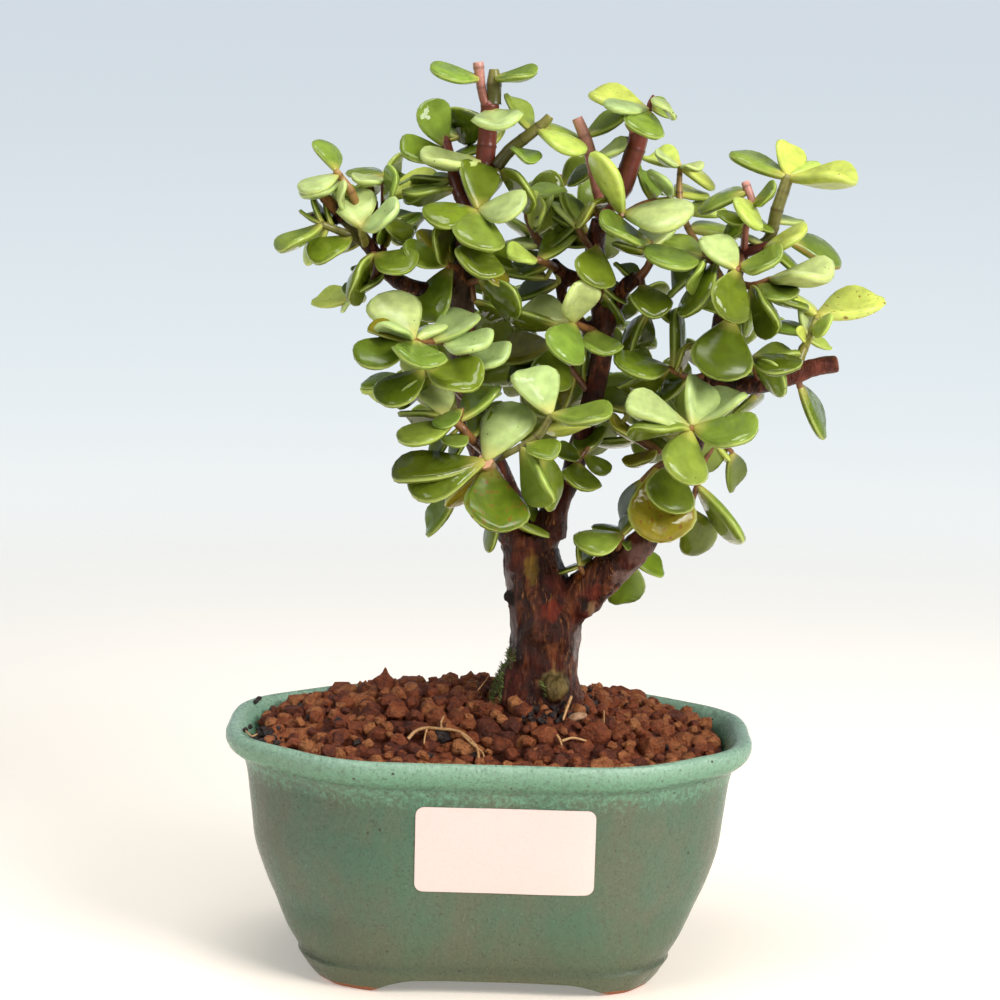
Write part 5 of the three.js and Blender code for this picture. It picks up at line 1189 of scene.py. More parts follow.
class Finishes:
    """All materials of the object."""

    def __init__(self) -> None:
        """Makes them."""
        self.leaf = SucculentLeaf().material()
        self.young_stem = YoungStem().material()
        self.bark = JadeBark().material()
        self.glaze = CeladonGlaze().material()
        self.clay = ClayGranule().material()
        # Living moss: tiny matt leaves, dark green and yellow-green mixed in fine patches
        self.moss = TwoToned("living_moss", "#2a3a12", "#7a8d34", 1.6, 0.1, 0.85, 0.3).material()
        # Coated paper, die cut: blank, smooth and faintly pink
        self.label = TwoToned("coated_paper_label", "#e2c8c1", "#ead0ca", 0.7, 0.02, 0.4).material()
        # Peat: wet black crumbs
        self.peat = TwoToned("damp_black_peat", "#0a0503", "#2c170d", 1.8, 1.2, 0.5).material()
        # Root: thin dry tan skin
        self.root = TwoToned("dry_root_skin", "#9a6736", "#dcae78", 1.1, 0.2, 0.55).material()
        # Pumice: a tan pebble worn smooth
        self.pebble = TwoToned("worn_tan_pumice", "#8c6244", "#c9a07c", 1.6, 0.5, 0.8).material()
        # Polypropylene, moulded: drainage mesh, dark grey and satin, with clay dust on it
        self.mesh = TwoToned("moulded_polypropylene_mesh", "#232524", "#4b3a30", 1.2, 0.05, 0.5).material()


FINISHES = Finishes()


# ---- stems


@dataclass(frozen=True)
class TubePoint:
    """A place on a tube's middle line and the tube's radius there, in metres."""

    centre: Vector
    radius: float


def seen_point(point: StemPoint) -> TubePoint:
    """Turns a row's column, row, toward and apparent width into a place and a radius."""
    column, row, toward, apparent = point
    return TubePoint(VIEW.place(column, row, toward), VIEW.width(apparent, column, row, toward) / 2)


def smooth_line(points: Sequence[TubePoint], step_mm: float) -> list[TubePoint]:
    """Draws a smooth line through points, without overshooting in its thickness.

    Args:
        points: The points that the line passes through.
        step_mm: The most between two points of the line.

    Returns:
        The line's points, the given ones among them.
    """
    line = []
    last = len(points) - 1
    for index in range(last):
        before, start = points[max(index - 1, 0)], points[index]
        end, after = points[index + 1], points[min(index + 2, last)]
        steps = max(1, math.ceil((end.centre - start.centre).length / (step_mm * MM)))
        for count in range(steps):
            t = count / steps
            weights = (
                (-t + 2 * t**2 - t**3) / 2,
                (2 - 5 * t**2 + 3 * t**3) / 2,
                (t + 4 * t**2 - 3 * t**3) / 2,
                (-(t**2) + t**3) / 2,
            )
            centre = sum(
                (point.centre * weight for point, weight in zip((before, start, end, after), weights)), Vector()
            )
            ease = t * t * (3 - 2 * t)
            line.append(TubePoint(centre, start.radius + (end.radius - start.radius) * ease))
    return [*line, points[last]]


def tube(name: str, line: Sequence[TubePoint], sides: int) -> Piece:
    """Makes a round tube with closed ends along a line.

    Its points lie in rings of the given number: the far end's cap, the near end's cap, and then one
    ring for each point of the line.

    Args:
        name: The object's name.
        line: The middle line.
        sides: The number of its sides, 4, 6, 8 or a larger even number.

    Returns:
        The tube, as a mesh.
    """
    piece = new_primitive(bpy.ops.curve.primitive_nurbs_path_add, name)
    curve = piece.data
    curve.splines.clear()
    path = curve.splines.new("POLY")
    path.points.add(len(line) - 1)
    path.points.foreach_set("co", [value for point in line for value in (*point.centre, 1.0)])
    path.points.foreach_set("radius", [point.radius for point in line])
    curve.bevel_depth = 1.0
    curve.bevel_resolution = sides // 2 - 2
    curve.use_fill_caps = True
    make_active(piece)
    bpy.ops.object.convert(target="MESH")
    return piece


# ---- leaves


class Blade(Enum):
    """The ways a blade bends, as shares of its width: sides raised, middle dished and tip raised."""

    FLAT = (0.02, 0.04, -0.03)
    DISHED = (0.05, 0.12, 0.04)
    CUPPED = (0.12, 0.06, 0.12)
    ARCHED = (-0.03, 0.0, -0.16)
    FOLDED = (0.16, 0.08, -0.08)


@dataclass(frozen=True)
class LeafPose:
    """A leaf's place: its base, the way it points, the way its upper face looks, and its size in metres."""

    base: Vector
    axis: Vector
    normal: Vector
    length: float
    width: float
    tone: Tone
    joint: TubePoint | None = None
    flaw: str = ""

    @property
    def matrix(self) -> Matrix:
        """Takes a blade of unit length and half-width from the origin to its place."""
        across = self.normal.cross(self.axis) * self.width / 2
        columns = (self.axis * self.length, across, self.normal * self.width, self.base)
        turned = Matrix([(*column, 0.0) for column in columns])
        turned.transpose()
        turned[3] = (0.0, 0.0, 0.0, 1.0)
        return turned


@dataclass
class BladeModel:
    """Models the fleshy spoon-shaped blade, with its base at the origin and its tip at one along X.

    widths and thicknesses are the shares of the full half-width and of the full half-thickness that
    the blade has at its rings, from the stalk to the tip.
    """

    segments: int = 8
    widths: tuple[float, ...] = (0.12, 0.2, 0.34, 0.52, 0.72, 0.89, 0.99, 0.98, 0.86, 0.63, 0.34)
    thicknesses: tuple[float, ...] = (0.5, 0.7, 0.85, 0.95, 1.0, 1.0, 1.0, 0.97, 0.9, 0.8, 0.6)
    thickness: float = 0.108
    flat_top: float = 0.72
    cushion: tuple[float, float, float] = (1.0, 1.16, 1.26)
    middle: tuple[float, float, float] = (0.5, 0.0, 0.0)
    side_from: float = 0.6

    def _shape_ring(self, blade: Piece, index: int, bend: tuple[float, float, float]) -> None:
        """Gives one ring of the blade its width and thickness, and bends it."""
        rings = len(self.widths) + 1
        turn = math.pi * (index + 1) / rings
        along, reach = (1 - math.cos(turn)) / 2, math.sin(turn)
        fold, dish, curl = bend
        half = self.widths[index]
        tolerance = 0.2 / rings**2
        select_where(blade, lambda co: abs(co.x - along) < tolerance)
        thick = self.thickness * self.thicknesses[index]
        resize(1.0, half / reach, thick / reach, centre=(along, 0.0, 0.0))
        shift(0.0, 0.0, curl * along**2 - dish * half * math.sin(math.pi * along))
        select_where(blade, lambda co: abs(co.x - along) < tolerance and abs(co.y) > self.side_from * half)
        shift(0.0, 0.0, (fold + dish) * half * half)

    def build(self, form: Blade) -> Piece:
        """Models a blade.

        Args:
            form: The way it bends.

        Returns:
            The blade, with attributes that tell how near a point is to the rim and to the tip.
        """
        blade = new_primitive(
            bpy.ops.mesh.primitive_uv_sphere_add,
            f"blade_{form.name.lower()}",
            segments=self.segments,
            ring_count=len(self.widths) + 1,
            radius=1.0,
        )
        edit_all(blade)
        rotate(math.pi / 2, "Y")
        resize(0.5, 1.0, 1.0)
        shift(*self.middle)
        # The cushion between the rim and the middle is full, and the upper face flatter than the lower
        select_where(blade, lambda co: abs(co.y) > 0.05 and abs(co.z) > 0.05)
        resize(*self.cushion, centre=self.middle)
        select_where(blade, lambda co: co.z > 0.01)
        resize(1.0, 1.0, self.flat_top, centre=self.middle)
        deselect()
        points = [vertex.co.copy() for vertex in blade.data.vertices]
        for index in range(len(self.widths)):
            self._shape_ring(blade, index, form.value)
        select_where(blade, lambda co: co.x > 0.999)
        shift(0.0, 0.0, form.value[2])
        bpy.ops.mesh.select_all(action="SELECT")
        bpy.ops.mesh.normals_make_consistent(inside=False)
        smooth(blade)
        rim = [1.0 if co.x > 0.999 else abs(co.y) / max(math.hypot(co.y, co.z), 1e-6) for co in points]
        point_values(blade, "rim", rim)
        point_values(blade, "along", [co.x for co in points])
        point_values(blade, "under", [1.0 if co.z < -0.01 else 0.0 for co in points])
        return blade


def nearest_on_twigs(twigs: Sequence[Twig], column: float, row: float) -> StemPoint:
    """Finds the place on a shoot's stems that shows nearest to a column and a row.

    Args:
        twigs: The shoot's stems.
        column: The column.
        row: The row.

    Returns:
        The place, as a stem's point.
    """
    spot = Vector((column, row))
    best, least = twigs[0].line[0], math.inf
    for twig in twigs:
        for start, end in zip(twig.line, twig.line[1:]):
            origin, span = Vector(start[:2]), Vector(end[:2]) - Vector(start[:2])
            share = min(1.0, max(0.0, (spot - origin).dot(span) / span.length_squared))
            apart = (origin + span * share - spot).length
            if apart < least:
                least = apart
                best = tuple(a + (b - a) * share for a, b in zip(start, end))
    return best


@dataclass
class Foliage:
    """All leafy shoots: their stems, and their leaves as copies of a few modelled blades."""

    least_length: float = 1.2
    level_side: float = 0.35
    stalk_from_mm: float = 3.5
    stalk_mm: float = 0.62
    stalk_share: float = 0.06
    pair_first: float = 0.12
    pair_twist: float = 0.6
    pair_forward: float = 0.45
    pair_taper: float = 0.25
    pair_length: float = 1.25
    node_pitch_mm: float = 5.5
    node_swell: float = 0.1
    stem_sides: int = 8
    # How much a leaf's brightness and its warmth stray from its tone's
    depths: tuple[float, float] = (0.86, 1.14)
    warmths: tuple[float, float] = (0.92, 1.08)
    blades: list[Piece] = field(default_factory=list)

    def pose(self, leaf: Leaf, twigs: Sequence[Twig]) -> LeafPose:
        """Works out a leaf's place, lie and size from how it shows.

        Args:
            leaf: The leaf.
            twigs: The stems of its shoot.

        Returns:
            The leaf's pose.
        """
        joint = nearest_on_twigs(twigs, leaf.base_column, leaf.base_row)
        toward = joint[2]
        spot = (leaf.base_column, leaf.base_row, toward)
        apparent = math.hypot(leaf.tip_column - leaf.base_column, leaf.tip_row - leaf.base_row)
        seen_length = VIEW.width(apparent, *spot)
        seen_width = VIEW.width(abs(leaf.shows), *spot)
        width = abs(leaf.width_mm) * MM
        length = max(self.least_length * width, seen_length)
        tip_toward = toward + math.copysign(math.sqrt(max(0.0, length**2 - seen_length**2)) / MM, leaf.shows)
        shown_base = VIEW.place(*spot)
        joint_point = seen_point(joint)
        stalked = (shown_base - joint_point.centre).length > self.stalk_from_mm * MM
        base = shown_base if stalked else joint_point.centre
        tip = VIEW.place(leaf.tip_column, leaf.tip_row, tip_toward)
        axis = (tip - base).normalized()
        aside = axis.cross((VIEW.eye - base).normalized()).normalized()
        facing = aside.cross(axis)
        turn = math.acos(min(1.0, seen_width / width))
        uprightness = aside.z if abs(aside.z) > self.level_side else aside.x
        tilt = math.copysign(math.sin(turn), leaf.width_mm * uprightness)
        normal = (facing * math.cos(turn) + aside * tilt).normalized()
        tone, flaw = Tone.named(leaf.marks[0]), leaf.marks[1:]
        return LeafPose(base, axis, normal, (tip - base).length, width, tone, joint_point if stalked else None, flaw)

    def paired_poses(self, points: Stem, pairs: int, width_mm: float, chance: random.Random) -> list[LeafPose]:
        """Sets leaves in pairs along a stem, each pair turned a quarter from the one before.

        Args:
            points: The stem's middle line.
            pairs: The number of pairs.
            width_mm: The width of the lowest leaves.
            chance: The source of each leaf's tone.

        Returns:
            The leaves' poses.
        """
        line = smooth_line([seen_point(point) for point in points], 1.0)
        poses = []
        for pair in range(pairs):
            share = self.pair_first + (1 - self.pair_first) * (pair + 0.5) / pairs
            index = min(len(line) - 2, round(share * (len(line) - 1)))
            centre = line[index].centre
            along = (line[index + 1].centre - centre).normalized()
            side = Matrix.Rotation(pair * math.pi / 2 + self.pair_twist, 3, along) @ UP.cross(along).normalized()
            for hand in (1, -1):
                axis = (side * hand + along * self.pair_forward).normalized()
                normal = (along - axis * along.dot(axis)).normalized()
                width = width_mm * MM * (1 - self.pair_taper * share)
                tone = chance.choice((Tone.MIDDLE, Tone.BRIGHT, Tone.DARK, Tone.DARK))
                poses.append(LeafPose(centre, axis, normal, width * self.pair_length, width, tone))
        return poses

    def leaf_copy(self, pose: LeafPose, chance: random.Random) -> Piece:
        """Puts a copy of a blade at a pose.

        Args:
            pose: The leaf's pose.
            chance: The source of its form, colour and wetness.

        Returns:
            The leaf.
        """
        copy = placed_copy(chance.choice(self.blades), pose.matrix)
        depth, warmth = chance.uniform(*self.depths), chance.uniform(*self.warmths)
        red, green, blue, alpha = linear(pose.tone.colour)
        point_colours(copy, "tone", [(red * depth * warmth, green * depth, blue * depth, alpha)])
        point_values(copy, "wet", 1.0 if chance.random() < pose.tone.wet else 0.0)
        point_values(copy, "spoiled", 1.0 if pose.flaw == "s" else 0.0)
        point_values(copy, "age", 1.0 if pose.flaw == "r" else 0.0)
        return copy

    def stem_tube(self, twig: Twig) -> Piece:
        """Makes one stem with the rings that its former leaves left.

        Args:
            twig: The stem.

        Returns:
            The stem, with its colour and its cut end as attributes.
        """
        line = smooth_line([seen_point(point) for point in twig.line], 0.7)
        walked, ringed, joints = 0.0, [], []
        for index, point in enumerate(line):
            if index:
                walked += (point.centre - line[index - 1].centre).length / MM
            at_node = max(0.0, math.cos(2 * math.pi * walked / self.node_pitch_mm)) ** 12
            ringed.append(TubePoint(point.centre, point.radius * (1 + self.node_swell * at_node)))
            joints.append(0.65 * at_node)
        if twig.sawn:
            ringed.append(TubePoint(ringed[-1].centre, ringed[-1].radius * 0.9))
        else:
            ahead = (line[-1].centre - line[-2].centre).normalized()
            ringed.append(TubePoint(line[-1].centre + ahead * line[-1].radius * 0.5, line[-1].radius * 0.6))
        joints.append(0.0)
        piece = tube("stem", ringed, self.stem_sides)
        lower, upper = (Vector(linear(colour)) for colour in twig.rind.value)
        last = len(ringed) - 1
        order = (last, 0, *range(last + 1))
        rings = [order[index // self.stem_sides] for index in range(len(piece.data.vertices))]
        point_colours(piece, "tone", [lower.lerp(upper, ring / last) for ring in rings])
        cap = self.stem_sides if twig.sawn else 0
        point_values(piece, "cut", [1.0 if index < cap else 0.0 for index in range(len(rings))])
        point_values(piece, "joint", [joints[ring] for ring in rings])
        return piece

    def stalk(self, pose: LeafPose) -> Piece:
        """Makes the short stalk of a blade that stands off its stem."""
        radius = max(self.stalk_mm * MM, pose.width * self.stalk_share)
        inside = TubePoint(pose.base + pose.axis * radius * 2, radius)
        line = smooth_line([pose.joint, TubePoint(pose.base, radius), inside], 0.8)
        line = [TubePoint(point.centre, radius) for point in line]
        piece = tube("stalk", line, self.stem_sides)
        point_colours(piece, "tone", [linear(Rind.GREEN.value[1])])
        point_values(piece, "cut", 0.0)
        point_values(piece, "joint", 0.0)
        return piece

    def build_shoot(self, name: str, twigs: Sequence[Twig], poses: Sequence[LeafPose], chance: random.Random) -> None:
        """Makes a shoot's two pieces, its stems and its leaves.

        Args:
            name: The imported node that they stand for.
            twigs: Its stems.
            poses: Its leaves.
            chance: The source of its leaves' differences.
        """
        tubes = [self.stem_tube(twig) for twig in twigs]
        tubes += [self.stalk(pose) for pose in poses if pose.joint]
        wood = join(tubes, f"{name}_stems")
        smooth(wood, 50.0)
        dress(wood, FINISHES.young_stem, "bark", name)
        leaves = join([self.leaf_copy(pose, chance) for pose in poses], f"{name}_leaves")
        dress(leaves, FINISHES.leaf, "leaf", name)

    def build(self) -> None:
        """Makes every shoot."""
        model = BladeModel()
        self.blades = [model.build(form) for form in Blade]
        for shoot in read_chart(SHOOT_CHART):
            chance = random.Random(shoot.name)
            poses = [self.pose(leaf, shoot.twigs) for leaf in shoot.leaves]
            for twig in shoot.twigs:
                poses += self.paired_poses(twig.line, shoot.pairs, shoot.width_mm, chance)
            self.build_shoot(shoot.name, shoot.twigs, poses, chance)
        put_away(self.blades)


# ---- trunk


@dataclass(frozen=True)
class Stain:
    """A stain of the bark: its middle as column, row and toward, its half sides in columns and rows, its colour."""

    column: float
    row: float
    toward: float
    half_width: float
    half_height: float
    colour: str
    most: float = 0.9


@dataclass
class Trunk:
    """The bare wood: trunk, limbs, knots and the roots that run down into the soil."""

    sides: int = 16
    voxel_mm: float = 0.75
    lump_mm: float = 12.0
    lump_rise_mm: float = 0.9
    ridge_mm: float = 2.8
    ridge_length_mm: float = 10.0
    ridge_rise_mm: float = 0.6
    crackle_mm: float = 4.5
    crackle_rise_mm: float = 0.2
    crease_mm: float = 0.7
    crease_wave_mm: float = 9.0
    crease_wander_mm: float = 1.2
    # The weathering is full below one height, and fades by the other toward its least share
    weathered_top_mm: float = 190.0
    weathered_fade_mm: float = 90.0
    weathered_least: float = 0.25
    # A stain's ragged outline, how deep it is for its width, and where its edge begins and how soft it is
    rag_mm: float = 2.4
    rag: float = 0.5
    stain_depth: float = 3.0
    stain_edge: float = 1.25
    stain_fade: float = 0.4
    # A sawn face: how far from its middle and how squarely to its limb a point may lie
    cut_reach: float = 1.6
    cut_facing: float = 0.75
    burls: tuple[StemPoint, ...] = ((585, 608, 7, 20), (509, 597, 3, 12), (556, 687, 12.3, 26), (627, 546, 16, 7))
    root_crown: StemPoint = (540, 735, 0, 40)
    root_turns: tuple[tuple[float, float], ...] = ((20, 34), (95, 26), (160, 36), (215, 30), (275, 26), (330, 32))
    # A root's radius in millimetres for each share of its way
    root_shape: tuple[tuple[float, float], ...] = ((0.0, 6.0), (0.5, 3.4), (1.0, 1.0))
    root_crown_mm: float = 66.0
    root_tip_mm: float = 40.0
    creases: tuple[StemPoint, ...] = ((530, 555, 14, 58),)
    stains: tuple[Stain, ...] = tuple(Stain(*row) for row in (
        (501, 550, 8, 5, 9, "#8e2f14"), (579, 570, 6, 4, 7, "#b35a22"), (532, 568, 9, 7, 14, "#8a6a24", 0.7),
        (551, 611, 10, 9, 11, "#7e2c18", 0.8), (592, 590, 8, 9, 9, "#6f2a1c", 0.75),
        (508, 580, 3, 5, 14, "#a08f8e", 0.7), (514, 624, 3, 4, 20, "#8f7f7c", 0.75),
        (577, 645, 4, 4, 18, "#9a8a86", 0.7), (508, 597, 4, 8, 8, "#15100e"), (584, 606, 12, 5, 9, "#1b0f0a"),
        (591, 611, 10, 4, 8, "#96724a", 0.7), (556, 687, 14, 13, 13, "#7d6a3c"), (627, 546, 18, 5, 5, "#8f9a3c"),
        (640, 552, 14, 14, 12, "#7d5a50", 0.7), (625, 575, 10, 12, 10, "#8a6c62", 0.7),
        (800, 372, 10, 46, 16, "#74392a", 0.75), (604, 240, -1, 14, 40, "#4c2019", 0.6),
        (540, 640, 10, 10, 16, "#3a1a10", 0.6), (464, 300, 8, 12, 18, "#7f6650", 0.5),
        (604, 335, 8, 10, 20, "#7a5a48", 0.5), (325, 198, 8, 13, 14, "#a4703a", 0.8),
        (352, 236, 8, 14, 16, "#6b6a30", 0.75),
    ))
    sawn_ends: tuple[tuple[StemPoint, StemPoint], ...] = (
        ((815, 367, 10, 19), (838, 364, 10, 18)),
        ((335, 208, 6, 13), (321, 193, 6, 12)),
        ((318, 220, 2, 9), (310, 217, 4, 10)),
    )

    def _limb(self, points: Stem) -> Piece:
        """Makes one limb as a tube."""
        return tube("limb", smooth_line([seen_point(point) for point in points], 1.5), self.sides)

    def _root(self, turn_deg: float, reach_mm: float) -> Piece:
        """Makes one root that dives from the trunk's foot into the soil."""
        crown = seen_point(self.root_crown).centre
        turn = math.radians(turn_deg)
        line = []
        for share, radius_mm in self.root_shape:
            height = self.root_crown_mm + (self.root_tip_mm - self.root_crown_mm) * share
            aside = Vector((math.cos(turn), math.sin(turn), 0.0)) * reach_mm * share * MM
            place = Vector((crown.x, VIEW.pot_middle.y, VIEW.pot_middle.z)) + aside + UP * height * MM
            line.append(TubePoint(place, radius_mm * MM))
        return tube("root", smooth_line(line, 2.0), self.sides)

    def _burl(self, point: StemPoint) -> Piece:
        """Makes one rounded swelling."""
        place = seen_point(point)
        ball = new_primitive(
            bpy.ops.mesh.primitive_ico_sphere_add, "burl", subdivisions=3, radius=place.radius, location=place.centre
        )
        bpy.ops.object.transform_apply(location=True, rotation=False, scale=False)
        return ball

    def _stain_points(self, wood: Piece) -> None:
        """Stores the stains' colours and shares at the wood's points."""
        spots = []
        for stain in self.stains:
            middle = VIEW.place(stain.column, stain.row, stain.toward)
            reach = VIEW.width(1.0, stain.column, stain.row, stain.toward)
            sides = reach * stain.half_width, reach * stain.half_height
            spots.append((middle, *sides, Vector(linear(stain.colour)), stain.most))
        colours, shares = [], []
        for vertex in wood.data.vertices:
            colour, share = Vector((0.1, 0.05, 0.03, 1.0)), 0.0
            for middle, half_width, half_height, stain_colour, most in spots:
                apart = vertex.co - middle
                ragged = 1 + self.rag * noise.noise(vertex.co / (self.rag_mm * MM))
                deep = apart.y / (self.stain_depth * half_width)
                flat = math.hypot(apart.x / half_width, apart.z / half_height, deep) * ragged
                here = most * min(1.0, max(0.0, (self.stain_edge - flat) / self.stain_fade))
                if here > share:
                    colour, share = stain_colour, here
            colours.append(colour)
            shares.append(share)
        point_colours(wood, "stain", colours)
        point_values(wood, "stained", shares)

    def _weathered(self, place: Vector) -> float:
        """Tells how far the bark stands out or in at a place, in metres."""
        spot = place / MM
        height = spot.z - VIEW.pot_middle.z / MM
        stout = min(1.0, max(self.weathered_least, (self.weathered_top_mm - height) / self.weathered_fade_mm))
        lumps = noise.fractal(spot / self.lump_mm, 1.0, 2.0, 3) * self.lump_rise_mm
        drawn = Vector((spot.x / self.ridge_mm, spot.y / self.ridge_mm, spot.z / self.ridge_length_mm))
        ridges = noise.fractal(drawn, 0.9, 2.1, 3) * self.ridge_rise_mm
        crackle = noise.ridged_multi_fractal(spot / self.crackle_mm, 1.0, 2.0, 3, 1.0, 1.2) * self.crackle_rise_mm
        crease = 0.0
        for point in self.creases:
            level = seen_point(point).centre.z / MM
            wave = Vector((spot.x / self.crease_wave_mm, spot.y / self.crease_wave_mm, level))
            wander = noise.noise(wave) * self.crease_wander_mm
            crease -= self.crease_mm * math.exp(-(((spot.z - level - wander) / self.crease_mm) ** 2))
        return (lumps + ridges + crackle + crease) * stout * MM

    def build(self) -> Piece:
        """Makes the wood as one grown piece.

        Returns:
            The wood's piece.
        """
        pieces = [self._limb(read_stem(course)) for course in LIMB_CHART.split(";")]
        pieces += [self._root(*root) for root in self.root_turns]
        pieces += [self._burl(point) for point in self.burls]
        wood = join(pieces, "trunk_wood")
        apply_modifier(wood, "REMESH", mode="VOXEL", voxel_size=self.voxel_mm * MM)
        apply_modifier(wood, "SMOOTH", factor=0.5, iterations=5)
        moves = [vertex.normal * self._weathered(vertex.co) for vertex in wood.data.vertices]
        for vertex, move in zip(wood.data.vertices, moves):
            vertex.co += move
        wood.data.update()
        cuts = []
        ends = [(seen_point(inner).centre, seen_point(outer)) for inner, outer in self.sawn_ends]
        for vertex in wood.data.vertices:
            cut = 0.0
            for inner, end in ends:
                ahead = (end.centre - inner).normalized()
                apart = vertex.co - end.centre
                if apart.length < end.radius * self.cut_reach and vertex.normal.dot(ahead) > self.cut_facing:
                    cut = 1.0
            cuts.append(cut)
        point_values(wood, "cut", cuts)
        self._stain_points(wood)
        smooth(wood)
        return dress(wood, FINISHES.bark, "bark", "trunk")


@dataclass
class Moss:
    """Fuzz of moss on the trunk's shaded foot, as short blades set on the bark."""

    count: int = 420
    top: tuple[float, float] = (507, 640)
    foot: tuple[float, float] = (497, 694)
    least_mm: float = 0.6
    most_mm: float = 1.9
    bend: float = 0.18
    sink_mm: float = 0.2
    sway: float = 0.5
    lift: float = 0.3
    # Where it grows: on bark that faces left, by patches that thin out upward, and not behind the trunk
    facing_left: float = -0.8
    facing_aside: float = 0.6
    behind_mm: float = 14.0
    margin_mm: float = 2.0
    patch_mm: float = 6.0
    cover: float = 0.75
    thinning: float = 1.1

    def _blade(self) -> Piece:
        """Models one blade of moss, a bent three-sided spike of unit length."""
        blade = new_primitive(
            bpy.ops.mesh.primitive_cone_add, "moss_blade", vertices=3, radius1=0.13, radius2=0.02, depth=1.0
        )
        edit_all(blade)
        shift(0.0, 0.0, 0.5)
        select_where(blade, lambda co: co.z > 0.9)
        shift(self.bend, 0.0, 0.0)
        deselect()
        return blade

    def build(self, wood: Piece) -> None:
        """Sets the blades on the wood's left side.

        Args:
            wood: The trunk's piece.
        """
        chance = random.Random("moss")
        blade = self._blade()
        high = VIEW.place(*self.top, 0)
        low = VIEW.place(*self.foot, 0)
        behind, margin = VIEW.pot_middle.y + self.behind_mm * MM, self.margin_mm * MM
        spots = []
        for vertex in wood.data.vertices:
            height = vertex.co.z
            if not low.z - margin < height < high.z + margin or vertex.normal.x > self.facing_left:
                continue
            patch = noise.noise(vertex.co / (self.patch_mm * MM)) + self.cover
            patch -= self.thinning * (height - low.z) / (high.z - low.z)
            if patch > 0 and vertex.co.y < behind and abs(vertex.normal.y) < self.facing_aside:
                spots.append((vertex.co.copy(), vertex.normal.copy()))
        chosen = chance.sample(spots, min(self.count, len(spots)))
        copies = []
        for place, normal in chosen:
            sway = Vector([chance.uniform(-self.sway, self.sway) for _ in range(3)])
            turned = (normal + sway + UP * self.lift).to_track_quat("Z", "X").to_matrix().to_4x4()
            size = Matrix.Scale(chance.uniform(self.least_mm, self.most_mm) * MM, 4)
            rooted = place - normal * self.sink_mm * MM
            copies.append(placed_copy(blade, Matrix.Translation(rooted) @ turned @ size))
        dress(join(copies, "moss_fuzz"), FINISHES.moss, "moss", "moss_patch")
        put_away([blade])


# ---- pot


